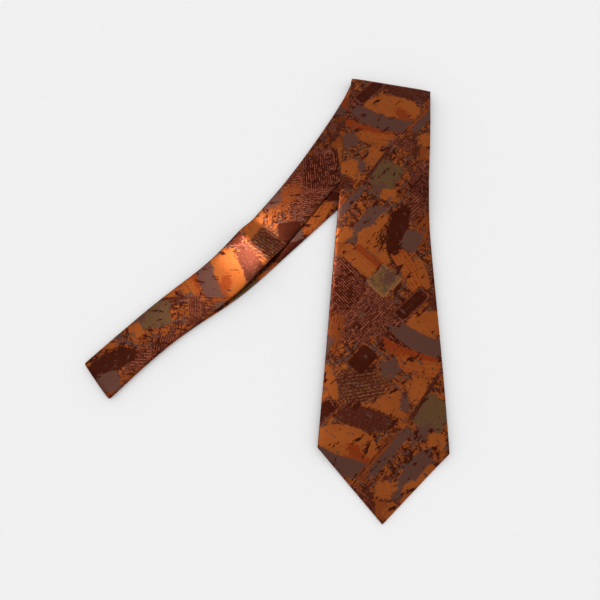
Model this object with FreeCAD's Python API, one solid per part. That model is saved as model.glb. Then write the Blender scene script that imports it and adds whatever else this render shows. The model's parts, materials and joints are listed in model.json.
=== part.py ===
import FreeCAD, Part
import math
import os

# A printed silk necktie, laid flat for keeping. All sizes are in millimetres.
# It is doubled at the neck, so that an under arm and an over arm lie on each other, and both
# are then turned over at one top fold: the wide front blade comes out on top, face up, and the
# narrow tail lies hidden under it, held by the keeper loop.
# The layout's own origin is the middle of the top fold on the table. +X is right and +Y is up
# the blade. At the end all pieces are moved so that the origin is the box's bottom centre.

# The cloth, ply by ply
PANEL_WALL = 0.35
INTERLINING = 1.4
PLY_ROOM = 0.05
LAYER = 2 * PANEL_WALL + INTERLINING + 2 * PLY_ROOM
LAYER_GAP = 0.3
PITCH = LAYER + LAYER_GAP

# The wide front blade, from the top fold to its point
FRONT_LENGTH = 328.5
FRONT_POINT = 52.5
FRONT_WIDTH = 100.4
FRONT_RUNS = [(0.18, 6), (0.15, 5), (0.19, 3), (0.24, 2), (0.24, 2.5)]
FRONT_TAPER = [0.777, 0.779, 0.83, 0.918, 1.0]

# The top fold, where both arms turn over
FOLD_WIDTH = 75.0
FOLD_SLOPE = 12.8

# The two arms, from the top fold to the neck fold
ARM_LENGTH = 372.0
NECK_WIDTH = 36.7
NECK_FOLD_HEADING = 50.6
ARM_RUNS = [(0.084, 27), (0.13, 35), (0.167, 39), (0.135, 42), (0.142, 45), (0.095, 53), (0.106, 50), (0.141, 46)]
UNDER_LEFT = [0.93, 0.82, 0.66, 0.57, 0.51, 0.485, 0.465, 0.5]
UNDER_RIGHT = [0.97, 0.86, 0.7, 0.61, 0.55, 0.52, 0.49, 0.5]
OVER_LEFT = [0.97, 0.86, 0.7, 0.61, 0.55, 0.52, 0.49, 0.5]
OVER_RIGHT = [0.44, 0.38, 0.36, 0.45, 0.5, 0.51, 0.49, 0.5]
OVER_FOLD_RIGHT = 10.0

# The narrow tail under the blade
TAIL_LENGTH = 293.0
TAIL_POINT = 29.0
TAIL_WIDTH = 54.0
TAIL_RUNS = [(0.35, 1.5), (0.35, 1.5), (0.3, 2)]
TAIL_TAPER = [0.92, 0.96, 1.0]

# How the blade and the tail come down from the arms to the table
RAMP_START = -106.0
RAMP_END = -150.0
RAMP_STAGGER = 2.0
TIP_RAMP_ROOM = 4.0
TIP_RAMP = 23.0

# The keeper loop and the labels on the blade's back
KEEPER_FROM_FOLD = 180.0
KEEPER_BAND = 15.0
KEEPER_PLY = 0.5
KEEPER_SIDE_ROOM = 1.0
KEEPER_FLANGE = 6.0
LABEL_FROM_FOLD = 216.0
LABEL_LENGTH = 60.0
LABEL_HEIGHT = 22.0
LABEL_PLY = 0.4
CARE_FROM_FOLD = 264.0
CARE_LENGTH = 22.0
CARE_HEIGHT = 10.0
BACK_ROOM = 0.4

# The back seam, its stitches and the lined points
SEAM_GAP = 1.5
STITCH_STEP = 12.0
STITCH_BITE = 0.4
THREAD = 0.3
FRONT_MOUTH = 52.0
TAIL_MOUTH = 24.0
FRONT_HEM = 12.0
TAIL_HEM = 7.0
TIPPING_ROOM = 0.15
TACK_WIDTH = 8.0
TACK_BAND = 1.2
HEMS_AT_SHOULDER = 1.2
HEMS_AT_POINT = 1.45
NECK_SEAM_FROM_FOLD = 15.0
FRONT_SEAM_FROM_HINGE = 28.0
SEAM_STITCHES = 9

# The bends that move, and the room each one needs
NECK_HINGE_SHARE = 0.605
TIP_HINGE_FROM_FOLD = 245.0
TIP_BEND_LIMIT = 110.0
BEND_ROOM = 0.3

# Shares of a length that only place something: the arms' back seam and the middle of the collar band
ARM_SEAM_SHARE = 0.5
COLLAR_SHARE = 0.38

# Big enough to reach past any piece when one is cut
REACH = 600.0
TALL = 40.0

FOLD_HEIGHT = 2 * PITCH - LAYER_GAP / 2
NECK_HEIGHT = PITCH - LAYER_GAP / 2
FRONT_ROLL = FOLD_HEIGHT
TAIL_ROLL = FOLD_HEIGHT - PITCH
TAIL_LOW = KEEPER_PLY + LAYER_GAP
FRONT_LOW = TAIL_LOW + LAYER + BACK_ROOM + LABEL_PLY
FRONT_TOP = FOLD_HEIGHT + TAIL_ROLL + LAYER_GAP
THREAD_HEIGHT = PANEL_WALL * 0.6
THREAD_INSIDE = PANEL_WALL * 0.2


def point(x, y, z=0.0):
    return FreeCAD.Vector(x, y, z)


def along(heading):
    """The way a strip runs: straight down the table, turned left by heading degrees."""
    turn = math.radians(heading)
    return point(-math.sin(turn), -math.cos(turn))


def leftward(heading):
    turn = math.radians(heading)
    return point(-math.cos(turn), math.sin(turn))


class Fold:
    """A fold line: its middle on the table, its line, the way out past it, and its roll's height."""

    def __init__(self, middle, outward, height):
        self.middle = middle
        self.out = outward
        self.line = point(outward.y, -outward.x)
        self.height = height

    def at(self, across, out, height):
        return self.middle + self.line * across + self.out * out + point(0, 0, height)


TOP_FOLD = Fold(point(0, 0), along(FOLD_SLOPE) * -1, FOLD_HEIGHT)


def walk(start, length, runs, last_heading=None):
    """Follows the runs from start, and gives each run's far end with the heading there."""
    stations = []
    place = start
    for index, (share, heading) in enumerate(runs):
        place = place + along(heading) * (share * length)
        following = runs[index + 1][1] if index + 1 < len(runs) else heading
        stations.append((place, (heading + following) / 2))
    if last_heading is not None:
        stations[-1] = (place, last_heading)
    return stations


def beside(stations, reaches, side):
    """Points at the given reaches left (side 1) or right (side -1) of the stations."""
    return [place + leftward(heading) * (reach * side) for (place, heading), reach in zip(stations, reaches)]


def spline(points):
    curve = Part.BSplineCurve()
    curve.interpolate(points)
    return curve.toShape()


def segments(points):
    return [Part.makeLine(a, b) for a, b in zip(points, points[1:])]


def strip_face(lefts, rights, start=(), end=()):
    """The flat face between two smooth edges, with straight ends through the given corners."""
    edges = [spline(lefts), spline(rights)]
    edges += segments([lefts[-1], *end, rights[-1]])
    edges += segments([rights[0], *start, lefts[0]])
    return Part.Face(Part.Wire(Part.__sortEdges__(edges)))


def polygon_face(points):
    return Part.Face(Part.makePolygon([*points, points[0]]))


def prism(face, low=-TALL, high=TALL):
    solid = face.extrude(point(0, 0, high - low))
    solid.translate(point(0, 0, low))
    return solid


def profile_band(profile, low, high):
    """Everything between two heights over a side profile of (y, underside height) points."""
    floor = [point(-REACH, y, z + low) for y, z in profile]
    roof = [point(-REACH, y, z + high) for y, z in reversed(profile)]
    return polygon_face(floor + roof).extrude(point(2 * REACH, 0, 0))


def profile_height(profile, y):
    for (y0, z0), (y1, z1) in zip(profile, profile[1:]):
        if y1 <= y <= y0:
            return z0 + (z1 - z0) * (y0 - y) / (y0 - y1)
    return profile[-1][1]


def turned_band(fold, roll, shallow, deep):
    """A ply turned back over a fold, from depth shallow to depth deep under its outer face."""
    def arc(radius):
        return Part.Arc(fold.at(-REACH, 0, fold.height - radius), fold.at(-REACH, radius, fold.height),
                        fold.at(-REACH, 0, fold.height + radius)).toShape()

    outer = roll - shallow
    inner = roll - deep
    far = [fold.at(-REACH, -REACH, fold.height + z) for z in (-outer, -inner, inner, outer)]
    near = [fold.at(-REACH, 0, fold.height + z) for z in (-outer, -inner, inner, outer)]
    edges = [arc(outer), arc(inner)]
    edges += segments([near[0], far[0], far[1], near[1]])
    edges += segments([near[2], far[2], far[3], near[3]])
    face = Part.Face(Part.Wire(Part.__sortEdges__(edges)))
    return face.extrude(fold.line * (2 * REACH))


def roll_room(fold, radius):
    """A round bar along a fold line."""
    return Part.makeCylinder(radius, 2 * REACH, fold.at(-REACH, 0, fold.height), fold.line)


def past(fold):
    """The block on the table's side of a fold line, from the fold's height up."""
    base = [fold.at(a, n, 0) for a, n in ((-REACH, 0), (REACH, 0), (REACH, -REACH), (-REACH, -REACH))]
    return prism(polygon_face(base), fold.height, TALL)


def cross_block(place, heading, back, ahead):
    """A tall block across a strip, from back to ahead of a place on it."""
    way = along(heading)
    side = leftward(heading) * REACH
    corners = [place + way * back + side, place + way * back - side]
    corners += [place + way * ahead - side, place + way * ahead + side]
    return prism(polygon_face(corners))


def seam_face(stations, start):
    """The narrow face of the open seam along the middle of a strip's back."""
    half = [SEAM_GAP / 2] * (len(stations) + 1)
    line = [start, *stations]
    return strip_face(beside(line, half, 1), beside(line, half, -1))


def stitch_bar(place, heading, height):
    """One stitch over the back seam."""
    half = SEAM_GAP / 2 + STITCH_BITE
    across = leftward(heading)
    way = along(heading) * (THREAD / 2)
    corners = [place + across * half + way, place - across * half + way]
    corners += [place - across * half - way, place + across * half - way]
    bar = polygon_face(corners).extrude(point(0, 0, THREAD_HEIGHT))
    bar.translate(point(0, 0, height))
    return bar


def stitches(stations, height_at, keep):
    """Stitches at an even step along the stations, where keep says so."""
    bars = []
    for (a, heading), (b, _) in zip(stations, stations[1:]):
        count = max(1, round((b - a).Length / STITCH_STEP))
        for index in range(count):
            place = a + (b - a) * ((index + 0.5) / count)
            if keep(place):
                bars.append(stitch_bar(place, heading, height_at(place)))
    return Part.makeCompound(bars)


# The plan: stations, edges and fold lines of the four layers
FRONT = walk(point(0, 0), FRONT_LENGTH, FRONT_RUNS)
ARM = walk(point(0, 0), ARM_LENGTH, ARM_RUNS, NECK_FOLD_HEADING)
OVER_MIDDLE = (OVER_FOLD_RIGHT - FOLD_WIDTH / 2) / 2
TAIL = walk(TOP_FOLD.at(OVER_MIDDLE, 0, 0), TAIL_LENGTH, TAIL_RUNS)
NECK_FOLD = Fold(ARM[-1][0], along(NECK_FOLD_HEADING), NECK_HEIGHT)
FRONT_TIP = FRONT[-1][0] + along(FRONT[-1][1]) * FRONT_POINT
TAIL_TIP = TAIL[-1][0] + along(TAIL[-1][1]) * TAIL_POINT

TIP_RAMP_START = TAIL_TIP.y - TIP_RAMP_ROOM
FRONT_PROFILE = [(TALL, FRONT_TOP), (RAMP_START - RAMP_STAGGER, FRONT_TOP), (RAMP_END, FRONT_LOW),
                 (TIP_RAMP_START, FRONT_LOW), (TIP_RAMP_START - TIP_RAMP, 0.0), (-REACH, 0.0)]
TAIL_PROFILE = [(TALL, 2 * PITCH), (RAMP_START, 2 * PITCH), (RAMP_END, TAIL_LOW), (-REACH, TAIL_LOW)]


def arm_middle(share):
    """A place along the arms, with its heading, at a share of their length."""
    gone = 0.0
    place = point(0, 0)
    for run, heading in ARM_RUNS:
        if share <= gone + run:
            return place + along(heading) * ((share - gone) * ARM_LENGTH), heading
        place = place + along(heading) * (run * ARM_LENGTH)
        gone += run
    return place, NECK_FOLD_HEADING


NECK_HINGE, NECK_HINGE_HEADING = arm_middle(NECK_HINGE_SHARE)
NECK_HINGE_ROOM = NECK_HEIGHT + BEND_ROOM
TIP_HINGE = point(FRONT[3][0].x, -TIP_HINGE_FROM_FOLD, FRONT_LOW + LAYER / 2)
TIP_HINGE_ROOM = LAYER / 2 * math.tan(math.radians(TIP_BEND_LIMIT / 2)) + BEND_ROOM


def front_face(inset):
    reaches = [FRONT_WIDTH / 2 * share - inset for share in FRONT_TAPER]
    edge = FOLD_WIDTH / 2 - inset
    lefts = [TOP_FOLD.at(-edge, 0, 0), *beside(FRONT, reaches, 1)]
    rights = [TOP_FOLD.at(edge, 0, 0), *beside(FRONT, reaches, -1)]
    slant = math.hypot(FRONT_POINT, FRONT_WIDTH / 2) / (FRONT_WIDTH / 2)
    return strip_face(lefts, rights, end=[FRONT_TIP - along(FRONT[-1][1]) * (inset * slant)])


def tail_face(inset):
    reaches = [TAIL_WIDTH / 2 * share - inset for share in TAIL_TAPER]
    lefts = [TOP_FOLD.at(inset - FOLD_WIDTH / 2, 0, 0), *beside(TAIL, reaches, 1)]
    rights = [TOP_FOLD.at(OVER_FOLD_RIGHT - inset, 0, 0), *beside(TAIL, reaches, -1)]
    slant = math.hypot(TAIL_POINT, TAIL_WIDTH / 2) / (TAIL_WIDTH / 2)
    return strip_face(lefts, rights, end=[TAIL_TIP - along(TAIL[-1][1]) * (inset * slant)])


def arm_face(left_shares, right_shares, fold_left, fold_right, inset):
    """An arm's outline, carried on past both of its folds so that the rolls are full."""
    left_reaches = [NECK_WIDTH * share - inset for share in left_shares]
    right_reaches = [NECK_WIDTH * share - inset for share in right_shares]
    lefts = [TOP_FOLD.at(inset - fold_left, 0, 0), *beside(ARM, left_reaches, 1)]
    rights = [TOP_FOLD.at(fold_right - inset, 0, 0), *beside(ARM, right_reaches, -1)]
    beyond_top = TOP_FOLD.out * (2 * FRONT_ROLL)
    beyond_neck = NECK_FOLD.out * (2 * FRONT_ROLL)
    return strip_face(lefts, rights, start=[rights[0] + beyond_top, lefts[0] + beyond_top],
                      end=[lefts[-1] + beyond_neck, rights[-1] + beyond_neck])


def under_face(inset):
    return arm_face(UNDER_LEFT, UNDER_RIGHT, FOLD_WIDTH / 2, FOLD_WIDTH / 2, inset)


def over_face(inset):
    return arm_face(OVER_LEFT, OVER_RIGHT, FOLD_WIDTH / 2, OVER_FOLD_RIGHT, inset)


def neck_face(inset):
    """The outline that both arms share near the neck fold."""
    return arm_face(UNDER_RIGHT, UNDER_RIGHT, FOLD_WIDTH / 2, FOLD_WIDTH / 2, inset)


INNER = PANEL_WALL + PLY_ROOM


def blade_panel(face, profile, seam, mouth, back_is_down):
    """A blade's outer cloth: a flat tube, open along its back seam and at its lined mouth."""
    outer = prism(face(0)).common(profile_band(profile, 0, LAYER))
    hollow = prism(face(PANEL_WALL)).common(profile_band(profile, PANEL_WALL, LAYER - PANEL_WALL))
    back = (-THREAD, PANEL_WALL + THREAD) if back_is_down else (LAYER - PANEL_WALL - THREAD, LAYER + THREAD)
    opening = prism(seam).fuse(prism(mouth)).common(profile_band(profile, *back))
    return outer.cut(hollow).cut(opening)


def blade_interlining(face, profile):
    return prism(face(INNER)).common(profile_band(profile, INNER, LAYER - INNER))


def mouth_face(stations, tip, width, mouth, hem, room):
    """The kite that a blade's turned hems leave open over its lining."""
    shoulder, heading = stations[-1]
    reach = leftward(heading) * (width / 2 - hem * HEMS_AT_SHOULDER - room)
    top = shoulder - along(heading) * (mouth - room)
    low = tip - along(heading) * (hem * HEMS_AT_POINT + room)
    return polygon_face([top, shoulder + reach, low, shoulder - reach])


def front_mouth(room=0.0):
    return mouth_face(FRONT, FRONT_TIP, FRONT_WIDTH, FRONT_MOUTH, FRONT_HEM, room)


def tail_mouth(room=0.0):
    return mouth_face(TAIL, TAIL_TIP, TAIL_WIDTH, TAIL_MOUTH, TAIL_HEM, room)


def blade_seam(stations, start, mouth):
    """A blade's back seam, from its fold down to its lined mouth."""
    shoulder, heading = stations[-1]
    line = [*stations[:-1], (shoulder - along(heading) * (mouth - THREAD), heading)]
    return seam_face(line, start)


def front_blade_parts():
    """The front blade's cloth and interlining, each cut into the blade and its lifting tip."""
    seam = blade_seam(FRONT, (point(0, 0), FRONT_RUNS[0][1]), FRONT_MOUTH)
    clear = roll_room(TOP_FOLD, FRONT_ROLL + LAYER_GAP)
    gap = cross_block(TIP_HINGE, 0, -TIP_HINGE_ROOM, TIP_HINGE_ROOM)
    upper = cross_block(TIP_HINGE, 0, -REACH, 0)
    pieces = {}
    whole = {"panel": blade_panel(front_face, FRONT_PROFILE, seam, front_mouth(), True),
             "interlining": blade_interlining(front_face, FRONT_PROFILE)}
    for kind, solid in whole.items():
        open_solid = solid.cut(clear).cut(gap)
        pieces["front_blade_" + kind] = open_solid.common(upper)
        pieces["front_tip_" + kind] = open_solid.cut(upper)
    return pieces


def tail_parts():
    start = (TOP_FOLD.at(OVER_MIDDLE, 0, 0), TAIL_RUNS[0][1])
    seam = blade_seam(TAIL, start, TAIL_MOUTH)
    clear = roll_room(TOP_FOLD, FRONT_ROLL + LAYER_GAP)
    return {"tail_panel": blade_panel(tail_face, TAIL_PROFILE, seam, tail_mouth(), False).cut(clear),
            "tail_interlining": blade_interlining(tail_face, TAIL_PROFILE).cut(clear)}


def rooted(solid, roll):
    """Keeps an arm and its roll over the top fold, without the blade that goes on from it."""
    return solid.cut(past(TOP_FOLD).cut(roll_room(TOP_FOLD, roll)))


def arm_layer(face, roll, seam_depth, seam):
    """One arm's cloth and interlining, with the roll that turns it over the top fold."""
    panel = prism(face(0)).common(turned_band(TOP_FOLD, roll, 0, LAYER))
    hollow = prism(face(PANEL_WALL)).common(turned_band(TOP_FOLD, roll, PANEL_WALL, LAYER - PANEL_WALL))
    lining = prism(face(INNER)).common(turned_band(TOP_FOLD, roll, INNER, LAYER - INNER))
    low = FOLD_HEIGHT - roll + seam_depth
    panel = panel.cut(hollow).cut(prism(seam, low - THREAD, low + PANEL_WALL + THREAD))
    return rooted(panel, roll), rooted(lining, roll)


def arm_seam():
    return seam_face(ARM[:-1], (ARM[0][0] * ARM_SEAM_SHARE, ARM_RUNS[0][1]))


def arm_parts():
    """The two arms between the top fold and the bend in the middle of them."""
    keep = cross_block(NECK_HINGE, NECK_HINGE_HEADING, -REACH, -NECK_HINGE_ROOM)
    under, under_lining = arm_layer(under_face, FRONT_ROLL, LAYER - PANEL_WALL, arm_seam())
    over, over_lining = arm_layer(over_face, TAIL_ROLL, 0, arm_seam())
    solids = {"under_arm_panel": under, "under_arm_interlining": under_lining, "over_arm_panel": over,
              "over_arm_interlining": over_lining}
    return {name: solid.common(keep) for name, solid in solids.items()}


def neck_band(outline, shallow, deep):
    band = prism(outline).common(turned_band(NECK_FOLD, NECK_HEIGHT, shallow, deep))
    return band.common(cross_block(NECK_HINGE, NECK_HINGE_HEADING, NECK_HINGE_ROOM, REACH))


def bias_cut(x, low, high):
    """The part of a layer on the neck's side of a bias seam, which runs up the table at x."""
    return Part.makeBox(REACH, 2 * REACH, high - low, point(x - REACH, -REACH, low))


def neck_seam_places():
    """Where the two bias seams cross the middle of the arm: tail to neck, and front to neck."""
    tail_side = NECK_FOLD.middle - along(ARM_RUNS[-1][1]) * NECK_SEAM_FROM_FOLD
    front_side = NECK_HINGE + along(NECK_HINGE_HEADING) * FRONT_SEAM_FROM_HINGE
    return tail_side, front_side


def neck_parts():
    """The doubled end at the neck: three panels joined by bias seams round one interlining."""
    tail_seam, front_seam = neck_seam_places()
    band = neck_band(neck_face(0), 0, LAYER)
    band = band.cut(neck_band(neck_face(PANEL_WALL), PANEL_WALL, LAYER - PANEL_WALL))
    slit = neck_band(seam_face(ARM, (ARM[3][0], ARM_RUNS[3][1])), LAYER - PANEL_WALL - THREAD, LAYER + THREAD)
    band = band.cut(slit)
    low_side = bias_cut(front_seam.x, -TALL, NECK_HEIGHT)
    high_side = bias_cut(tail_seam.x, NECK_HEIGHT, TALL)
    under_half = prism(neck_face(-LAYER), -TALL, NECK_HEIGHT)
    rest = band.cut(low_side).cut(high_side)
    return {"neck_panel": band.common(low_side.fuse(high_side)),
            "front_end_panel": rest.common(under_half),
            "tail_end_panel": rest.cut(under_half),
            "neck_interlining": neck_band(neck_face(INNER), INNER, LAYER - INNER)}


def bias_stitches(place, low):
    """A row of short stitches over a bias seam, up the table through a place on it."""
    step = NECK_WIDTH / SEAM_STITCHES
    bars = []
    for index in range(SEAM_STITCHES):
        y = place.y + (index - (SEAM_STITCHES - 1) / 2) * step
        bars.append(Part.makeBox(SEAM_GAP, THREAD, THREAD_HEIGHT, point(place.x - SEAM_GAP / 2, y, low)))
    return Part.makeCompound(bars)


def seam_threads():
    """The slip stitches over every back seam, and the stitches of the two bias seams."""
    tail_seam, front_seam = neck_seam_places()
    upper = LAYER - PANEL_WALL + THREAD_INSIDE
    front_line = [(point(0, 0), FRONT_RUNS[0][1]), *FRONT]
    tail_line = [(TOP_FOLD.at(OVER_MIDDLE, 0, 0), TAIL_RUNS[0][1]), *TAIL]
    arm_line = [(point(0, 0), ARM_RUNS[0][1]), *ARM]
    hinge = NECK_HINGE
    way = along(NECK_HINGE_HEADING)

    def before_bend(place):
        return (place - hinge).dot(way) < -NECK_HINGE_ROOM - STITCH_BITE and place.y < ARM[0][0].y

    def after_bend(place):
        in_neck = (place - hinge).dot(way) > NECK_HINGE_ROOM + STITCH_BITE
        return in_neck and (place - NECK_FOLD.middle).dot(NECK_FOLD.out) < -LAYER

    def in_blade(place):
        return -TIP_HINGE_FROM_FOLD + TIP_HINGE_ROOM + STITCH_BITE < place.y < -2 * FRONT_ROLL

    def in_tip(place):
        mouth_top = FRONT[-1][0].y + FRONT_MOUTH + TACK_BAND
        return mouth_top < place.y < -TIP_HINGE_FROM_FOLD - TIP_HINGE_ROOM - STITCH_BITE

    def in_tail(place):
        return TAIL[-1][0].y + TAIL_MOUTH + TACK_BAND < place.y < -2 * FRONT_ROLL

    def under_front(place):
        return profile_height(FRONT_PROFILE, place.y) + THREAD_INSIDE

    def over_tail(place):
        return profile_height(TAIL_PROFILE, place.y) + upper

    return {
        "front_blade_slip_stitches": stitches(front_line, under_front, in_blade),
        "front_tip_slip_stitches": stitches(front_line, under_front, in_tip),
        "tail_slip_stitches": stitches(tail_line, over_tail, in_tail),
        "under_arm_slip_stitches": stitches(arm_line, lambda place: upper, before_bend),
        "over_arm_slip_stitches": stitches(arm_line, lambda place: PITCH + THREAD_INSIDE, before_bend),
        "neck_slip_stitches": stitches(arm_line, lambda place: upper, after_bend),
        "tail_neck_seam_stitches": bias_stitches(tail_seam, PITCH + upper),
        "front_neck_seam_stitches": bias_stitches(front_seam, THREAD_INSIDE),
    }


def tippings():
    """The lining cloth that closes each blade's point at the back."""
    front = prism(front_mouth(TIPPING_ROOM)).common(profile_band(FRONT_PROFILE, 0, PANEL_WALL))
    tail = prism(tail_mouth(TIPPING_ROOM)).common(profile_band(TAIL_PROFILE, LAYER - PANEL_WALL, LAYER))
    return {"front_tipping": front, "tail_tipping": tail}


def front_x(y):
    """The middle of the front blade at a height y on the table."""
    line = [point(0, 0), *[place for place, _ in FRONT]]
    for a, b in zip(line, line[1:]):
        if b.y <= y <= a.y:
            return a.x + (b.x - a.x) * (a.y - y) / (a.y - b.y)
    return line[-1].x


def tail_reach(y):
    """The tail's left and right edges where it runs through the keeper loop."""
    cut = tail_face(0).common(Part.makeLine(point(-REACH, y), point(REACH, y)))
    return cut.BoundBox.XMin, cut.BoundBox.XMax


def keeper_loop():
    """A narrow band round the tail, with its two ends turned out under the blade's back."""
    top = -KEEPER_FROM_FOLD + KEEPER_BAND / 2
    left, right = tail_reach(-KEEPER_FROM_FOLD)
    left -= KEEPER_SIDE_ROOM
    right += KEEPER_SIDE_ROOM
    out = KEEPER_FLANGE
    ply = KEEPER_PLY
    section = [(left - ply, 0), (right + ply, 0), (right + ply, FRONT_LOW - ply), (right + out, FRONT_LOW - ply),
               (right + out, FRONT_LOW), (right, FRONT_LOW), (right, ply), (left, ply), (left, FRONT_LOW),
               (left - out, FRONT_LOW), (left - out, FRONT_LOW - ply), (left - ply, FRONT_LOW - ply)]
    return polygon_face([point(x, top, z) for x, z in section]).extrude(point(0, -KEEPER_BAND, 0))


def keeper_tacks():
    """Two tacks on each turned-out end of the keeper loop, up into the blade's back."""
    left, right = tail_reach(-KEEPER_FROM_FOLD)
    inset = KEEPER_FLANGE / 2 + KEEPER_SIDE_ROOM
    bars = []
    for x in (left - inset - THREAD, right + inset - THREAD):
        for y in (-KEEPER_BAND / 3, KEEPER_BAND / 3):
            place = point(x, -KEEPER_FROM_FOLD + y, FRONT_LOW - KEEPER_PLY / 2)
            bars.append(Part.makeBox(4 * THREAD, THREAD, KEEPER_PLY / 2 + PANEL_WALL / 2, place))
    return Part.makeCompound(bars)


def back_label(from_fold, length, height):
    """A blank label lying on the blade's back."""
    corner = point(front_x(-from_fold) - length / 2, -from_fold - height / 2, FRONT_LOW - LABEL_PLY)
    return Part.makeBox(length, height, LABEL_PLY, corner)


def label_tacks(from_fold, length, height):
    """A tack at each corner of a label, through it and into the blade's back."""
    middle = front_x(-from_fold)
    bars = []
    for x in (-1, 1):
        for y in (-1, 1):
            place = point(middle + x * (length / 2 - 3 * THREAD) - 2 * THREAD,
                          -from_fold + y * (height / 2 - 2 * THREAD) - THREAD / 2, FRONT_LOW - LABEL_PLY / 2)
            bars.append(Part.makeBox(4 * THREAD, THREAD, LABEL_PLY / 2 + PANEL_WALL / 2, place))
    return Part.makeCompound(bars)


def bar_tack(stations, mouth, profile, depth):
    """The short bar of thread that closes a back seam over its lined mouth, in the layer's back ply."""
    shoulder, heading = stations[-1]
    middle = shoulder - along(heading) * (mouth + TACK_BAND)
    low = profile_height(profile, middle.y) + depth
    return Part.makeBox(TACK_WIDTH, TACK_BAND, THREAD_HEIGHT, point(middle.x - TACK_WIDTH / 2, middle.y, low))


def back_trim():
    """Everything sewn to the blades' backs."""
    upper = LAYER - PANEL_WALL + THREAD_INSIDE
    return {"keeper_loop": keeper_loop(), "keeper_tacks": keeper_tacks(),
            "blank_label": back_label(LABEL_FROM_FOLD, LABEL_LENGTH, LABEL_HEIGHT),
            "blank_label_tacks": label_tacks(LABEL_FROM_FOLD, LABEL_LENGTH, LABEL_HEIGHT),
            "care_label": back_label(CARE_FROM_FOLD, CARE_LENGTH, CARE_HEIGHT),
            "care_label_tacks": label_tacks(CARE_FROM_FOLD, CARE_LENGTH, CARE_HEIGHT),
            "front_bar_tack": bar_tack(FRONT, FRONT_MOUTH, FRONT_PROFILE, THREAD_INSIDE),
            "tail_bar_tack": bar_tack(TAIL, TAIL_MOUTH, TAIL_PROFILE, upper)}


def all_parts():
    parts = {}
    for group in (front_blade_parts, tail_parts, arm_parts, neck_parts, seam_threads, tippings, back_trim):
        parts.update(group())
    return parts


def solids_only(shape):
    solids = shape.Solids
    return solids[0] if len(solids) == 1 else Part.makeCompound(solids)


def main():
    os.makedirs("parts", exist_ok=True)
    parts = {name: solids_only(shape) for name, shape in all_parts().items()}
    box = Part.makeCompound(list(parts.values())).BoundBox
    shift = point(-(box.XMin + box.XMax) / 2, -(box.YMin + box.YMax) / 2, -box.ZMin)
    for name, shape in parts.items():
        shape.translate(shift)
        shape.exportStep("parts/" + name + ".step")
        print(name, "solids", len(shape.Solids), "volume", round(shape.Volume, 2), "valid", shape.isValid())
    middle_of_arm, _ = arm_middle(COLLAR_SHARE)
    places = {"top fold": TOP_FOLD.at(0, 0, FOLD_HEIGHT), "neck bend": NECK_HINGE + point(0, 0, NECK_HEIGHT),
              "tip bend": TIP_HINGE, "underside": middle_of_arm, "neck fold": NECK_FOLD.at(0, 0, NECK_HEIGHT)}
    for name, place in places.items():
        print("place", name, [round(value, 3) for value in place + shift])
    print("line top fold", [round(value, 5) for value in TOP_FOLD.line * -1])
    way = along(NECK_HINGE_HEADING)
    print("line neck bend", [round(value, 5) for value in (way.y, -way.x, 0.0)])


main()
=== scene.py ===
"""A printed silk necktie laid flat, built round its fixed frame of bodies and joints."""

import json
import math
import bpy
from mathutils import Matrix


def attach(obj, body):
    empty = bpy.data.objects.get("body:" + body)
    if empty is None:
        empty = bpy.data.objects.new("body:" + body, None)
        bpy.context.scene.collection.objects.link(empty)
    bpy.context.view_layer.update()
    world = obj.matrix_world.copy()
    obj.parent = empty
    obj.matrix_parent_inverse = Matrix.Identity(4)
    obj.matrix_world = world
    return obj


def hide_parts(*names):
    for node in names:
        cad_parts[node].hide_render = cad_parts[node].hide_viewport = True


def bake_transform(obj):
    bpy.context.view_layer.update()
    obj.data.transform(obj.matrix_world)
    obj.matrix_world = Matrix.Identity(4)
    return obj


bl_info = {
    "name": "Folded silk necktie",
    "version": (1, 0, 0),
    "blender": (4, 5, 0),
    "location": "View3D > Sidebar > Necktie",
    "description": "Sews a printed necktie, folded at the neck and over the top, from flat strips of cloth",
    "category": "Object",
}

import bpy
import numpy as np
from mathutils import Euler, Vector

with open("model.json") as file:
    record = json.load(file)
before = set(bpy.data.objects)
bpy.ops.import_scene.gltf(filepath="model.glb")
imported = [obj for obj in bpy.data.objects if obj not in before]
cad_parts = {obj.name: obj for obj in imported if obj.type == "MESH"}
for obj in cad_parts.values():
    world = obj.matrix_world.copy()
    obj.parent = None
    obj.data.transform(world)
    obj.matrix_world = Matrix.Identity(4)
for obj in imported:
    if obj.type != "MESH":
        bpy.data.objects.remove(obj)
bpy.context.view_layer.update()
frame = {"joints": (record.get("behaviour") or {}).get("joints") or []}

# The plan is drawn in millimetres from the middle of the top fold, +X right and +Y up the blade.
MM = 0.001
JOINTS = {joint["name"]: joint for joint in frame["joints"]}
FOLD_PLACE = Vector(JOINTS["unfold_front"]["pos_m"])
FOLD_HEIGHT = FOLD_PLACE.z / MM
NECK_PLACE = Vector(JOINTS["neck_end_lift"]["pos_m"])
TIP_PLACE = Vector(JOINTS["front_tip_lift"]["pos_m"])

# Heights of the layers, in the space that the frame's solids take
LAYER = 2.2
PITCH = 2.5
NECK_HEIGHT = NECK_PLACE.z / MM
FRONT_ROLL = FOLD_HEIGHT
TAIL_ROLL = FOLD_HEIGHT - PITCH
TAIL_LOW = 0.8
FRONT_LOW = TIP_PLACE.z / MM - LAYER / 2
RAMP_START = -106.0
RAMP_END = -150.0
RAMP_STAGGER = 2.0
TIP_RAMP_START = -322.0
TIP_RAMP_END = -347.0

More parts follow.
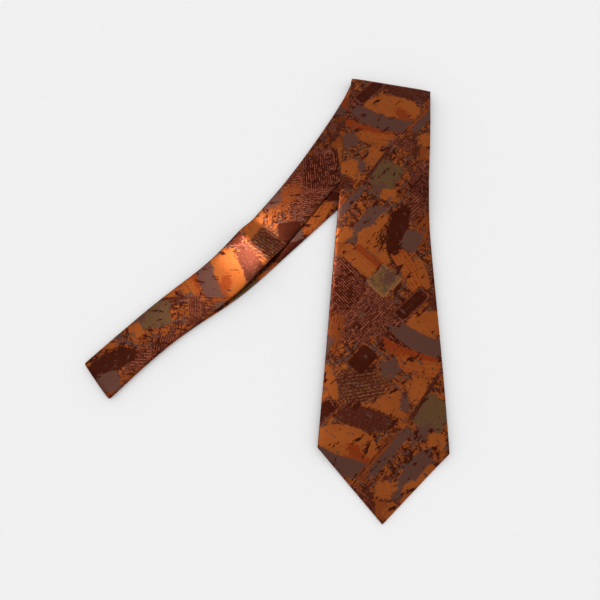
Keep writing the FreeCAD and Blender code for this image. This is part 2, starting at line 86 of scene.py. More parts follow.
# The plan: each strip's runs as a share of its length and the heading, in degrees left of straight down.
# A taper gives the width at each run's end as a share of the widest, and LEFT and RIGHT how far each
# edge of an arm lies from its middle, as a share of the neck's width.
FRONT_LENGTH = 328.5
FRONT_POINT = 52.5
FRONT_WIDTH = 100.4
FRONT_RUNS = [(0.18, 6), (0.15, 5), (0.19, 3), (0.24, 2), (0.24, 2.5)]
FRONT_TAPER = [0.777, 0.779, 0.83, 0.918, 1.0]
FOLD_WIDTH = 75.0
FOLD_SLOPE = 12.8
ARM_LENGTH = 372.0
NECK_WIDTH = 36.7
NECK_FOLD_HEADING = 50.6
ARM_RUNS = [
    (0.084, 27), (0.13, 35), (0.167, 39), (0.135, 42),
    (0.142, 45), (0.095, 53), (0.106, 50), (0.141, 46),
]
UNDER_LEFT = [0.93, 0.82, 0.66, 0.57, 0.51, 0.485, 0.465, 0.5]
UNDER_RIGHT = [0.97, 0.86, 0.7, 0.61, 0.55, 0.52, 0.49, 0.5]
OVER_LEFT = [0.97, 0.86, 0.7, 0.61, 0.55, 0.52, 0.49, 0.5]
OVER_RIGHT = [0.44, 0.38, 0.36, 0.45, 0.5, 0.51, 0.49, 0.5]
OVER_FOLD_RIGHT = 10.0
TAIL_LENGTH = 293.0
TAIL_POINT = 29.0
TAIL_WIDTH = 54.0
TAIL_RUNS = [(0.35, 1.5), (0.35, 1.5), (0.3, 2)]
TAIL_TAPER = [0.92, 0.96, 1.0]

# The pressed edge, the back seam and the lined mouths, whose hems are wider than the cut hem because
# they lie slanting: by HEM_AT_SHOULDER across the tie and by HEM_AT_POINT along it. A point is cut off
# just before its end, so that its last row of cloth still has a width. No flap laps over by more than
# its share of the tie's width there.
EDGE_THICKNESS = 1.3
EDGE_FADE = 5.0
SEAM_LAP = 7.0
SEAM_LAP_SHARE = 0.2
UNDER_LAP = 1.5
UNDER_LAP_SHARE = 0.1
LAP_DEPTH = 0.42
LAP_SINK_START = -0.6 * SEAM_LAP
LAP_SINK_END = 0.4 * SEAM_LAP
FRONT_MOUTH = 52.0
FRONT_HEM = 12.0
TAIL_MOUTH = 24.0
TAIL_HEM = 7.0
HEM_AT_SHOULDER = 1.2
HEM_AT_POINT = 1.45
POINT_END = 0.996

# Where the pieces of cloth meet, as a distance along each strip
BLADE_JOIN = 60.0
ARM_JOIN = 96.0
TAIL_JOIN = 96.0

# How high the soft cloth's waves are. They start this far from the top fold and this high over the table.
WAVES = 0.16
WAVES_START = 100.0
WAVES_FULL = 140.0
WAVES_LEAST_HEIGHT = 1.0
WAVES_FULL_HEIGHT = 3.0

# The over arm lies loose and bulges up between these distances from the top fold.
BULGE = 5.0
BULGE_START = 178.0
BULGE_TOP = 197.0
BULGE_LEAVE = 197.0
BULGE_END = 288.0

# What is sewn on the blade's back
KEEPER_FROM_FOLD = 180.0
KEEPER_BAND = 15.0
KEEPER_PLY = 0.5
KEEPER_SIDE_ROOM = 1.0
KEEPER_FLANGE = 6.0
KEEPER_CORNER = 0.9
KEEPER_OFF_BLADE = 0.05
KEEPER_OFF_TABLE = 0.03
TAIL_KEEPER_PLACE = [178.0]
LABEL_FROM_FOLD = 216.0
LABEL_LENGTH = 60.0
LABEL_HEIGHT = 22.0
LABEL_PLY = 0.35
CARE_FROM_FOLD = 264.0
CARE_LENGTH = 22.0
CARE_HEIGHT = 10.0
LABEL_BORDER = 1.6
CARE_BORDER = 0.8
LABEL_OFF_BLADE = 0.08
LABEL_SAG = 0.24
LABEL_EDGE = 1.2

# Threads and seams
THREAD = 0.34
STITCH_LENGTH = 3.4
STITCH_STEP = 12.0
STITCH_SLANT = 28.0
STITCH_OFF_MIDDLE = 1.5
BLADE_SEAM_START = 14.0
BLADE_SEAM_SHORT = 5.0
ARM_SEAM_START = 10.0
ARM_SEAM_SHORT = 8.0
BIAS_STITCHES = 10
BIAS_SHORT = 2.0
BAR_ABOVE_MOUTH = 1.2
BAR_STEPS = (-2.2, 0, 2.2)
BAR_ROWS = (-0.6, -0.2, 0.2, 0.6)
SILK_WALL = 0.35
TAIL_SEAM_X = -234.7
FRONT_SEAM_X = -165.0


def along(heading):
    """The way a strip runs: straight down, turned left by heading degrees."""
    turn = math.radians(heading)
    return np.array([-math.sin(turn), -math.cos(turn)])


def leftward(heading):
    turn = math.radians(heading)
    return np.array([-math.cos(turn), math.sin(turn)])


FOLD_OUT = -along(FOLD_SLOPE)
FOLD_LINE = np.array([FOLD_OUT[1], -FOLD_OUT[0]])
NECK_OUT = along(NECK_FOLD_HEADING)


def to_frame(points):
    """Plan millimetres to the frame's metres."""
    shift = np.array([FOLD_PLACE.x, FOLD_PLACE.y, 0.0])
    return np.asarray(points, float) * MM + shift


def walk(start, length, runs, last_heading=None):
    """Each run's far end, with the heading there."""
    stations = []
    place = np.array(start, float)
    for index, (share, heading) in enumerate(runs):
        place = place + along(heading) * (share * length)
        following = runs[index + 1][1] if index + 1 < len(runs) else heading
        stations.append((place, (heading + following) / 2))
    if last_heading is not None:
        stations[-1] = (place, last_heading)
    return stations


def beside(stations, reaches, side):
    return [place + leftward(heading) * (reach * side) for (place, heading), reach in zip(stations, reaches)]


def smooth_line(knots, values):
    """A natural cubic through the values at the knots, as a function of any number of places."""
    knots = np.array(knots, float)
    values = np.array(values, float)
    count = len(knots)
    step = np.diff(knots)
    system = np.eye(count)
    right = np.zeros_like(values)
    for i in range(1, count - 1):
        system[i, i - 1:i + 2] = step[i - 1], 2 * (step[i - 1] + step[i]), step[i]
        right[i] = 6 * ((values[i + 1] - values[i]) / step[i] - (values[i] - values[i - 1]) / step[i - 1])
    bend = np.linalg.solve(system, right)

    def at(places):
        places = np.asarray(places, float)
        i = np.clip(np.searchsorted(knots, places) - 1, 0, count - 2)
        before = (knots[i + 1] - places)[:, None]
        after = (places - knots[i])[:, None]
        h = step[i][:, None]
        curve = (bend[i] * before ** 3 + bend[i + 1] * after ** 3) / (6 * h)
        ends = (values[i] / h - bend[i] * h / 6) * before + (values[i + 1] / h - bend[i + 1] * h / 6) * after
        return curve + ends

    return at


class Strip:
    """The plan of one strip: its two edges at any distance along it from the top fold."""

    def __init__(self, lefts, rights, tip=None, mouth=0.0, hem=0.0):
        lefts = np.array(lefts, float)
        rights = np.array(rights, float)
        middle = (lefts + rights) / 2
        knots = np.concatenate([[0.0], np.cumsum(np.linalg.norm(np.diff(middle, axis=0), axis=1))])
        self.left_line = smooth_line(knots, lefts)
        self.right_line = smooth_line(knots, rights)
        self.shoulder = knots[-1]
        self.shoulder_ends = lefts[-1], rights[-1]
        self.tip = tip
        self.point = 0.0 if tip is None else float(np.linalg.norm(tip - middle[-1]))
        self.mouth = mouth
        self.hem = hem
        self.half_width = float(np.linalg.norm(lefts[-1] - rights[-1])) / 2
        self.length = self.shoulder + self.point

    def edges(self, distances):
        """Left and right edge points at distances along the strip."""
        distances = np.asarray(distances, float)
        on_body = np.minimum(distances, self.shoulder)
        left = self.left_line(on_body)
        right = self.right_line(on_body)
        if self.tip is not None:
            share = np.clip((distances - self.shoulder) / self.point, 0, POINT_END)[:, None]
            left = left + (self.tip - self.shoulder_ends[0]) * share
            right = right + (self.tip - self.shoulder_ends[1]) * share
        return left, right

    def mouth_reach(self, distances, width):
        """Half the width of the lined opening at each distance, or 0 where the back seam is closed."""
        distances = np.asarray(distances, float)
        if self.tip is None:
            return np.zeros(len(distances))
        start = self.shoulder - self.mouth
        widest = width / 2 - self.hem * HEM_AT_SHOULDER
        opening = np.interp(distances, [start, self.shoulder, self.mouth_end()], [0, widest, 0])
        return np.where((distances > start) & (distances < self.mouth_end()), opening, 0.0)

    def mouth_end(self):
        """How far along the strip its lined opening ends."""
        return self.length - self.hem * HEM_AT_POINT


def front_strip():
    stations = walk((0, 0), FRONT_LENGTH, FRONT_RUNS)
    reaches = [FRONT_WIDTH / 2 * share for share in FRONT_TAPER]
    lefts = [-FOLD_LINE * FOLD_WIDTH / 2, *beside(stations, reaches, 1)]
    rights = [FOLD_LINE * FOLD_WIDTH / 2, *beside(stations, reaches, -1)]
    tip = stations[-1][0] + along(stations[-1][1]) * FRONT_POINT
    return Strip(lefts, rights, tip, FRONT_MOUTH, FRONT_HEM)


def tail_strip():
    middle = FOLD_LINE * (OVER_FOLD_RIGHT - FOLD_WIDTH / 2) / 2
    stations = walk(middle, TAIL_LENGTH, TAIL_RUNS)
    reaches = [TAIL_WIDTH / 2 * share for share in TAIL_TAPER]
    lefts = [-FOLD_LINE * FOLD_WIDTH / 2, *beside(stations, reaches, 1)]
    rights = [FOLD_LINE * OVER_FOLD_RIGHT, *beside(stations, reaches, -1)]
    tip = stations[-1][0] + along(stations[-1][1]) * TAIL_POINT
    return Strip(lefts, rights, tip, TAIL_MOUTH, TAIL_HEM)


def arm_strip(left_shares, right_shares, fold_right):
    stations = walk((0, 0), ARM_LENGTH, ARM_RUNS, NECK_FOLD_HEADING)
    left_reaches = [NECK_WIDTH * share for share in left_shares]
    right_reaches = [NECK_WIDTH * share for share in right_shares]
    lefts = [-FOLD_LINE * FOLD_WIDTH / 2, *beside(stations, left_reaches, 1)]
    rights = [FOLD_LINE * fold_right, *beside(stations, right_reaches, -1)]
    return Strip(lefts, rights)


FRONT = front_strip()
TAIL = tail_strip()
UNDER = arm_strip(UNDER_LEFT, UNDER_RIGHT, FOLD_WIDTH / 2)
OVER = arm_strip(OVER_LEFT, OVER_RIGHT, OVER_FOLD_RIGHT)
NECK_MIDDLE = (UNDER.edges([UNDER.shoulder])[0][0] + UNDER.edges([UNDER.shoulder])[1][0]) / 2


def ease(value, start, end):
    """0 before start, 1 after end, and a smooth rise between."""
    share = np.clip((np.asarray(value, float) - start) / (end - start), 0, 1)
    return share * share * (3 - 2 * share)


def front_low(y):
    """The underside of the front blade at a height y on the plan."""
    top = FOLD_HEIGHT + TAIL_ROLL + PITCH - LAYER
    step = ease(-y, -(RAMP_START - RAMP_STAGGER), -RAMP_END)
    lip = ease(-y, -TIP_RAMP_START, -TIP_RAMP_END)
    return top + (FRONT_LOW - top) * step - FRONT_LOW * lip


def tail_low(y):
    return 2 * PITCH + (TAIL_LOW - 2 * PITCH) * ease(-y, -RAMP_START, -RAMP_END)


# The section of a strip: columns of cloth from the lapped seam round one edge, over the face, and back
FACE_COLUMNS = 15
BACK_COLUMNS = 12
EDGE_STEPS = 6

# In the point's last millimetres, the pressed edge is this share of half the width.
NARROW_EDGE = 0.8

# The interlining lies inside the tube, and the tipping closes each point behind its hems.
WOOL_INSET = 1.6
WOOL_WALL = 1.1
WOOL_SHORT = 8.0
WOOL_COLUMNS = 17
LINING_TUCK = 3.5
LINING_SHORT = 0.2
LINING_STEP = 2.0
LINING_DEPTH = 0.62
LINING_WALL = 0.18


def half_section(width, reach, lap):
    """One half of the cloth's section, from the middle of its face to its free end on the back.

    Gives the distance out from the middle, the height from the back (0) to the face (LAYER) and the
    distance over the cloth. reach is where the back ply ends, and lap is how far it sinks in there.
    """
    half = width / 2
    radius = min(EDGE_THICKNESS / 2, half * NARROW_EDGE)
    flat = half - radius

    def thickness(out):
        return LAYER + (EDGE_THICKNESS - LAYER) * np.exp(-(half - radius - np.abs(out)) / EDGE_FADE)

    face = np.linspace(0, flat, FACE_COLUMNS)
    turn = np.linspace(90, -90, EDGE_STEPS + 1)[1:-1]
    back = np.linspace(flat, min(reach, flat), BACK_COLUMNS)
    slack = min(1.0, half / EDGE_FADE)
    middle = LAYER / 2
    edge_half = radius if slack < 1 else EDGE_THICKNESS / 2
    grow = (thickness(face) - EDGE_THICKNESS) / 2 * slack
    sink = (thickness(back) - EDGE_THICKNESS) / 2 * slack
    face_height = middle + edge_half + grow
    back_height = middle - edge_half - sink + lap * ease(-back, LAP_SINK_START, LAP_SINK_END)
    out = np.concatenate([face, flat + radius * np.cos(np.radians(turn)), back])
    height = np.concatenate([face_height, middle + edge_half * np.sin(np.radians(turn)), back_height])
    steps = np.hypot(np.diff(out), np.diff(height))
    return out, height, np.concatenate([[0.0], np.cumsum(steps)])


def section(width, mouth):
    """The whole section, from the left flap's free end to the right flap's: out, height, over the cloth."""
    if mouth > 0:
        left = half_section(width, mouth, 0.0)
        right = left
    else:
        left = half_section(width, -min(UNDER_LAP, UNDER_LAP_SHARE * width), 0.0)
        right = half_section(width, -min(SEAM_LAP, SEAM_LAP_SHARE * width), LAP_DEPTH)
    out = np.concatenate([left[0][::-1], -right[0][1:]])
    height = np.concatenate([left[1][::-1], right[1][1:]])
    over = np.concatenate([left[2][::-1], -right[2][1:]])
    return out, height, over


def wool_section(width, _mouth):
    """The interlining's section: one flat layer in the middle of the cloth tube."""
    reach = max(width / 2 - WOOL_INSET, width / 4)
    out = np.linspace(reach, -reach, WOOL_COLUMNS)
    return out, np.full(WOOL_COLUMNS, LAYER / 2), out


def lining_section(_width, mouth):
    """The tipping's section: lining cloth a little wider than the opening, just inside the back ply."""
    out = np.linspace(mouth + LINING_TUCK, -mouth - LINING_TUCK, WOOL_COLUMNS)
    return out, np.full(WOOL_COLUMNS, LINING_DEPTH), out


def flat_rows(cut, strip, distances, low, face_up, unrolled, lift=None):
    """Rows of cloth where a strip lies flat: places and cloth coordinates, row by row."""
    left, right = strip.edges(distances)
    places = []
    cloth = []
    width = np.linalg.norm(left - right, axis=1)
    mouths = strip.mouth_reach(distances, 2 * strip.half_width)
    for index, distance in enumerate(distances):
        out, height, over = cut(width[index], mouths[index])
        middle = (left[index] + right[index]) / 2
        way = (left[index] - right[index]) / width[index]
        plan = middle + out[:, None] * way
        level = height if face_up else LAYER - height
        z = low(plan[:, 1]) + level
        if lift is not None:
            z = z + lift(distance)
        places.append(np.column_stack([plan, z]))
        cloth.append(unrolled(middle, way, distance, over))
    return np.array(places), np.array(cloth)


def roll_rows(cut, ends, fold_middle, fold_out, fold_height, radius, angles, unrolled):
    """Rows of cloth round a fold, from the layer above it (0 degrees) to the one below (180)."""
    line = np.array([fold_out[1], -fold_out[0]])
    left = (ends[0] - fold_middle) @ line
    right = (ends[1] - fold_middle) @ line
    side = 1 if left > right else -1
    out, height, over = cut(abs(left - right), 0.0)
    across = (left + right) / 2 + side * out
    places = []
    cloth = []
    for angle in angles:
        reach = radius - (LAYER - height)
        plan = fold_middle + across[:, None] * line + (reach * math.sin(angle))[:, None] * fold_out
        places.append(np.column_stack([plan, fold_height + reach * math.cos(angle)]))
        cloth.append(unrolled(fold_middle + (left + right) / 2 * line, line * side, angle, over))
    return np.array(places), np.array(cloth)


def plan_cloth(middle, way, _distance, over):
    """Cloth coordinates of the blade: where its face lies on the plan."""
    return middle + over[:, None] * way


def fold_cloth(middle, way, angle, over):
    """Cloth coordinates round the top fold."""
    return middle + over[:, None] * way + FOLD_OUT * (FRONT_ROLL * angle)


def mirrored(vector):
    return vector - 2 * (vector @ FOLD_OUT) * FOLD_OUT


def under_cloth(middle, way, _distance, over):
    """Cloth coordinates of the under arm, unrolled past the top fold."""
    return mirrored(middle) + FOLD_OUT * (math.pi * FRONT_ROLL) + over[:, None] * mirrored(way)


def strip_cloth(_middle, _way, distance, over):
    """Cloth coordinates of a strip by itself: across it and down it."""
    return np.column_stack([-over, np.full(len(over), -distance)])


def joined(*groups):
    """Groups of rows that follow each other, each one's first row being the last one's last."""
    places = [groups[0][0]]
    cloth = [groups[0][1]]
    for group_places, group_cloth in groups[1:]:
        places.append(group_places[1:])
        cloth.append(group_cloth[1:])
    return np.concatenate(places), np.concatenate(cloth)


def spaced(start, end, step):
    return np.linspace(start, end, max(2, round(abs(end - start) / step) + 1))


def ripple(places):
    """The slight waves of soft cloth, in millimetres up. Cloth that turns over the top fold has none."""
    x, y = places[..., 0], places[..., 1]
    from_fold = -places[..., :2] @ FOLD_OUT
    # Waves of unlike lengths, in millimetres, so that none of them is seen to repeat
    long_wave = np.sin(x / 23 + 1.3 * np.sin(y / 61)) * np.sin(y / 37 + 0.7 * np.sin(x / 41))
    short_wave = np.sin((x + y) / 9.1 + 2 * np.sin(y / 29)) * np.sin((x - y) / 13.7)
    high = bpy.context.scene.necktie_cloth.waves / MM * ease(from_fold, WAVES_START, WAVES_FULL)
    return high * (long_wave + 0.3 * short_wave)


def sheet_piece(name, rows, wall, material, turned=False, offset=-1):
    """A piece of cloth from rows of places: a grid of faces with its cloth coordinates, given a wall."""
    places, cloth = rows
    places = places.copy()
    places[..., 2] += ripple(places) * ease(places[..., 2], WAVES_LEAST_HEIGHT, WAVES_FULL_HEIGHT)
    row_count, column_count = places.shape[:2]
    index = np.arange(row_count * column_count).reshape(row_count, column_count)
    corners = [index[:-1, :-1], index[1:, :-1], index[1:, 1:], index[:-1, 1:]]
    quads = np.stack(corners, axis=-1).reshape(-1, 4)
    if turned:
        quads = quads[:, ::-1]
    mesh = bpy.data.meshes.new(name)
    mesh.from_pydata(to_frame(places.reshape(-1, 3)).tolist(), [], quads.tolist())
    layer = mesh.uv_layers.new(name="cloth")
    corner_vertices = np.zeros(len(mesh.loops), np.int32)
    mesh.loops.foreach_get("vertex_index", corner_vertices)
    layer.data.foreach_set("uv", cloth.reshape(-1, 2)[corner_vertices].astype(np.float32).ravel())
    mesh.materials.append(material)
    piece = bpy.data.objects.new(name, mesh)
    bpy.context.scene.collection.objects.link(piece)
    solid = piece.modifiers.new("wall", "SOLIDIFY")
    solid.thickness = wall * MM
    solid.offset = offset
    solid.use_even_offset = False
    finish_mesh(piece)
    return piece


def finish_mesh(piece):
    """Applies a piece's modifiers and shades it smooth, with its cut edges crisp."""
    apply_modifiers(piece)
    bpy.ops.object.select_all(action="DESELECT")
    bpy.context.view_layer.objects.active = piece
    piece.select_set(True)
    bpy.ops.object.shade_smooth_by_angle(angle=math.radians(50))
    piece.select_set(False)


def apply_modifiers(piece):
    bpy.ops.object.select_all(action="DESELECT")
    bpy.context.view_layer.objects.active = piece
    piece.select_set(True)
    for modifier in list(piece.modifiers):
        bpy.ops.object.modifier_apply(modifier=modifier.name)
    piece.select_set(False)


# ---- Materials ----------------------------------------------------------------------------------


def linear(code):
    """An sRGB hex colour as linear red, green, blue and alpha."""
    values = [int(code[i:i + 2], 16) / 255 for i in (1, 3, 5)]
    return [v / 12.92 if v <= 0.04045 else ((v + 0.055) / 1.055) ** 2.4 for v in values] + [1.0]


def add_node(tree, kind, *inputs, out=0, **named):
    """Adds a node and gives its output out, or the node itself if out is None.

    inputs are its sockets in their order. A name is a setting of the node, or else one of its sockets.
    """
    node = tree.nodes.new("ShaderNode" + kind)
    sockets = {}
    for name, value in named.items():
        if hasattr(node, name):
            setattr(node, name, value)
        else:
            sockets[name.replace("_", " ")] = value
    sockets.update(enumerate(inputs))
    for key, value in sockets.items():
        if isinstance(value, bpy.types.NodeSocket):
            tree.links.new(value, node.inputs[key])
        else:
            node.inputs[key].default_value = value
    return node if out is None else node.outputs[out]


def new_material(name):
    material = bpy.data.materials.new(name)
    material.use_nodes = True
    material.node_tree.nodes.clear()
    return material, material.node_tree


# The print repeats over the whole cloth by these two steps, in millimetres.
REPEAT = [(-77.6, -90.65), (105.3, -116.6)]

INK_CODES = {
    "tan": "#8e471c",
    "amber": "#783816",
    "rust": "#7c2d0f",
    "wine": "#340a05",
    "plum": "#43180e",
    "slate": "#51362e",
    "mauve": "#5e2f26",
    "olive": "#584126",
    "rose": "#8c4a36",
    "sand": "#835534",
}

# Each shape of the print: where its middle is, its half length and half width, its turn in degrees,
# how much it bows, how square its corners are, how far its edge is torn, its colour, and then the
# colour, spacing and share of the lines drawn along it, if it has any.
PRINT_SHAPES = [
    (-50, -80, 24, 16, -40, 0.0, 3, 5.0, "tan", None, 0, 0),
    (30, -62, 20, 13, 10, 0.0, 3, 5.0, "plum", None, 0, 0),
    (36, -100, 22, 15, -48, 0.0, 4, 4.0, "wine", "rose", 2.6, 0.36),
    (22, -124, 17, 15, 45, 0.0, 3, 4.5, "plum", "rose", 3.0, 0.34),
    (44, -190, 22, 12, 10, 0.0, 3, 5.0, "plum", "sand", 3.4, 0.3),
    (-62, -16, 22, 13, 62, 0.0, 4, 4.0, "wine", "rose", 2.4, 0.42),
    (-38, -22, 25, 12, -44, 0.0, 5, 2.5, "wine", "rose", 2.2, 0.4),
    (-84, -28, 18, 7, 74, 0.0, 4, 3.0, "amber", "plum", 3.2, 0.34),
    (-66, -66, 18, 9, 8, 0.0, 3, 4.0, "plum", "sand", 3.6, 0.26),
    (-39, -57, 8, 7, 20, 0.0, 4, 2.0, "slate", None, 0, 0),
    (-40, -88, 11, 9, 20, 0.0, 3, 3.0, "tan", None, 0, 0),
    (-29, -84, 7, 4, 80, 0.0, 3, 1.5, "slate", None, 0, 0),
    (-18, -74, 11, 7, 70, 0.0, 3, 2.5, "tan", None, 0, 0),
    (17, -6, 23, 9, -12, 0.0, 2.5, 1.8, "plum", None, 0, 0),
    (1, -23, 26, 12, -12, 0.006, 2.6, 0.8, "tan", None, 0, 0),
    (9, -31, 8, 5, -50, 0.0, 2, 1.8, "rust", None, 0, 0),
    (12, -38, 15, 3, -6, -0.006, 3, 1.2, "rust", None, 0, 0),
    (-12, -38, 31, 7.5, -24, -0.0065, 3.5, 0.6, "slate", None, 0, 0),
    (-24, -47, 24, 4.2, -22, -0.006, 4, 0.8, "rust", None, 0, 0),
    (-14, -57, 20, 6.5, -13, -0.007, 4, 1.0, "tan", "rust", 5.2, 0.3),
    (26, -36, 22, 4, 47, 0.0, 8, 0.6, "amber", "plum", 3.4, 0.45),
    (34, -32, 23, 3.4, 48, 0.0, 8, 0.5, "slate", None, 0, 0),
    (-61, -50, 10.5, 7.6, 48, 0.0, 10, 0.3, "wine", None, 0, 0),
    (-22, -8, 20, 4.2, 42, 0.0, 8, 0.4, "wine", "rose", 4.2, 0.24),
    (8, -62, 9, 5, -35, 0.0, 4, 1.8, "plum", "rose", 2.6, 0.3),
    (-13, -79, 23, 1.5, 55, 0.0, 8, 0.3, "plum", None, 0, 0),
    (-8, -94, 14, 11, 58, 0.0, 8, 0.6, "olive", "slate", 1.9, 0.42),
    (-15, -106, 7, 4.5, 30, 0.0, 3, 2.0, "slate", None, 0, 0),
    (-7, -113, 6.5, 5.6, -14, 0.0, 5, 0.9, "tan", None, 0, 0),
    (-25, -139, 19, 8.6, 52, 0.0, 5, 0.8, "slate", None, 0, 0),
    (-47, -149, 9, 7, 10, 0.0, 3, 2.4, "tan", None, 0, 0),
    (-35, -153, 7, 4, 20, 0.0, 3, 2.0, "slate", None, 0, 0),
    (-47, -163, 8, 6, -4, 0.0, 7, 0.6, "amber", None, 0, 0),
    (-20, -160, 19, 9, -58, 0.0, 3.4, 0.4, "tan", None, 0, 0),
    (-22, -146, 19, 4, 49, 0.0, 8, 0.3, "tan", None, 0, 0),
    (-13, -154, 8, 5.4, 70, 0.0, 3, 2.6, "wine", "tan", 2.7, 0.42),
    (-1, -148, 27, 8.6, 78, 0.004, 2.4, 1.0, "wine", None, 0, 0),
    (11, -155, 10, 8, 60, 0.0, 4, 1.2, "slate", None, 0, 0),
    (-34, -173, 18, 6.6, -45, 0.0, 8, 0.4, "tan", "amber", 4.6, 0.3),
    (-24, -170, 16, 3.2, -43, 0.0, 8, 0.4, "rust", None, 0, 0),
    (-40, -188, 21, 4.4, -47, 0.0, 8, 0.4, "wine", "rose", 2.1, 0.4),
    (-50, -200, 20, 12, -50, 0.0, 5, 2.6, "wine", "rose", 2.5, 0.32),
    (-26, -222, 21, 15, 45, 0.0, 4, 2.6, "plum", "rose", 2.3, 0.42),
    (-14, -191, 11.5, 10.5, 45, 0.0, 12, 0.3, "sand", None, 0, 0),
    (-14, -191, 10, 9, 45, 0.0, 12, 0.6, "olive", "sand", 2.4, 0.36),
    (-9, -188, 7, 4.6, 50, 0.0, 3, 2.2, "slate", None, 0, 0),
    (8, -182, 20, 7, -64, 0.004, 6, 0.5, "tan", "rust", 4.4, 0.42),
    (19, -185, 15, 3.8, -76, 0.004, 3, 0.5, "tan", None, 0, 0),
    (8, -212, 18, 6.2, 43, 0.0, 10, 0.4, "wine", "rose", 5.6, 0.14),
]

# Each ink is uneven: what it breaks up into, which ink it breaks towards, and how far.
INK_CHANGES = {
    "tan": ("clouds", "amber", 0.35),
    "amber": ("spots", "rust", 0.5),
    "rust": ("clouds", "amber", 0.4),
    "wine": ("clouds", "plum", 0.4),
    "plum": ("spots", "mauve", 0.6),
    "slate": ("spots", "mauve", 0.9),
    "olive": ("spots", "amber", 0.35),
    "rose": ("clouds", "rust", 0.4),
    "sand": ("spots", "amber", 0.5),
}

# The ground's layers of dry brush marks: ink, way in degrees, fineness, and how rare they are
GROUND_MARKS = [
    ("tan", 45, 0.34, 0.50),
    ("plum", -45, 0.22, 0.52),
    ("slate", 45, 0.18, 0.55),
    ("wine", 45, 0.40, 0.57),
    ("rose", -45, 0.70, 0.64),
    ("wine", -45, 0.6, 0.59),
]

# The brush marks over the shapes, which break them up
LAST_MARKS = [
    ("wine", 45, 0.17, 0.62),
    ("slate", -45, 0.21, 0.64),
]

# Where the print of the tail's own cloth lies on it: its cloth is cut apart from the front's.
ARM_PRINT_SHIFT = (3.0, 206.0)

# How wide the print's edges and outlines are, in millimetres, and how long a brush mark is for its width
EDGE_SOFT = 0.4
RIM_DEPTH = 0.75
RIM_HALF = 0.42
BRUSH_PULL = 2.6

# How fine the brush marks at torn edges and in broken lines are, and how far they push an edge and a line
TEAR_FINE = 0.7
TEAR_DEPTH = 6.0
LINE_SWAY = 5.0
BREAK_FINE = 0.6

# How sharply marks, lines, breaks, spots and clouds start
MARK_SHARP = 26.0
LINE_SHARP = 3.0
BREAK_SHARP = 16.0
SPOT_SHARP = 9.0
CLOUD_SHARP = 4.0


def print_shape_group():
    """One printed shape: a torn-edged block, oval or bowed band that comes back at every repeat.

    Inside rises through 0 to 1 over the shape's edge, and Drawn is where its lines and outline lie.
    """
    group = bpy.data.node_groups.new("printed_shape", "ShaderNodeTree")
    vectors = ("Lattice", "Middle", "Long Row", "Wide Row")
    numbers = (
        "Bow", "Square", "Unsquare", "Edge Gain", "Edge Start", "Tear", "Edge Noise", "Sway",
        "Line Turns", "Cross Turns", "Line Start", "Along Breaks", "Cross Breaks")
    for name in vectors:
        group.interface.new_socket(name, in_out="INPUT", socket_type="NodeSocketVector")
    for name in numbers:
        group.interface.new_socket(name, in_out="INPUT", socket_type="NodeSocketFloat")
    for name in ("Inside", "Drawn"):
        group.interface.new_socket(name, in_out="OUTPUT", socket_type="NodeSocketFloat")
    given = group.nodes.new("NodeGroupInput").outputs
    offset = add_node(group, "VectorMath", given["Lattice"], given["Middle"], operation="SUBTRACT")
    wrapped = add_node(group, "VectorMath", offset, (0.5,) * 3, (-0.5,) * 3, operation="WRAP")
    along_it = add_node(group, "VectorMath", wrapped, given["Long Row"], operation="DOT_PRODUCT",
                        out="Value")
    across_it = add_node(group, "VectorMath", wrapped, given["Wide Row"], operation="DOT_PRODUCT",
                         out="Value")
    squared = add_node(group, "Math", along_it, along_it, operation="MULTIPLY")
    bowed = add_node(group, "Math", squared, given["Bow"], across_it, operation="MULTIPLY_ADD")
    powers = []
    for share in (along_it, bowed):
        size = add_node(group, "Math", share, operation="ABSOLUTE")
        powers.append(add_node(group, "Math", size, given["Square"], operation="POWER"))
    both = add_node(group, "Math", *powers, operation="ADD")
    round_out = add_node(group, "Math", both, given["Unsquare"], operation="POWER")
    edge = add_node(group, "Math", round_out, given["Edge Gain"], given["Edge Start"],
                    operation="MULTIPLY_ADD")
    inside = add_node(group, "Math", given["Edge Noise"], given["Tear"], edge, operation="MULTIPLY_ADD")
    drawn = []
    for share, turns, breaks in (
            (bowed, "Line Turns", "Along Breaks"),
            (along_it, "Cross Turns", "Cross Breaks")):
        phase = add_node(group, "Math", share, given[turns], given["Sway"], operation="MULTIPLY_ADD")
        wave = add_node(group, "Math", phase, operation="COSINE")
        stroke = add_node(group, "Math", wave, LINE_SHARP, given["Line Start"], operation="MULTIPLY_ADD",
                          use_clamp=True)
        drawn.append(add_node(group, "Math", stroke, given[breaks], operation="MULTIPLY"))
    lines = add_node(group, "Math", *drawn, operation="MAXIMUM")
    from_rim = add_node(group, "Math", inside, 0.5 + RIM_DEPTH / EDGE_SOFT, operation="SUBTRACT")
    off_rim = add_node(group, "Math", from_rim, operation="ABSOLUTE")
    rim = add_node(group, "Math", off_rim, -EDGE_SOFT / RIM_HALF, 0.9, operation="MULTIPLY_ADD",
                   use_clamp=True)
    result = group.nodes.new("NodeGroupOutput")
    group.links.new(inside, result.inputs["Inside"])
    group.links.new(add_node(group, "Math", lines, rim, operation="MAXIMUM"), result.inputs["Drawn"])
    return group


def lattice_rows():
    """The two rows that turn print millimetres into counts of the repeat."""
    (ax, ay), (bx, by) = REPEAT
    size = ax * by - bx * ay
    return (by / size, -bx / size, 0), (-ay / size, ax / size, 0)


def in_lattice(x, y):
    return tuple(row[0] * x + row[1] * y for row in lattice_rows()) + (0.0,)


def brushed_noise(tree, print_place, way, fine):
    """Noise pulled out along one way, in degrees, as dry brush marks are."""
    pulled = add_node(tree, "Mapping", print_place, vector_type="TEXTURE",
                      Rotation=(0, 0, math.radians(way)), Scale=(BRUSH_PULL / fine, 1 / fine, 1))
    return add_node(tree, "TexNoise", noise_dimensions="2D", Vector=pulled, Scale=1.0, Detail=4.0,
                    Roughness=0.62)


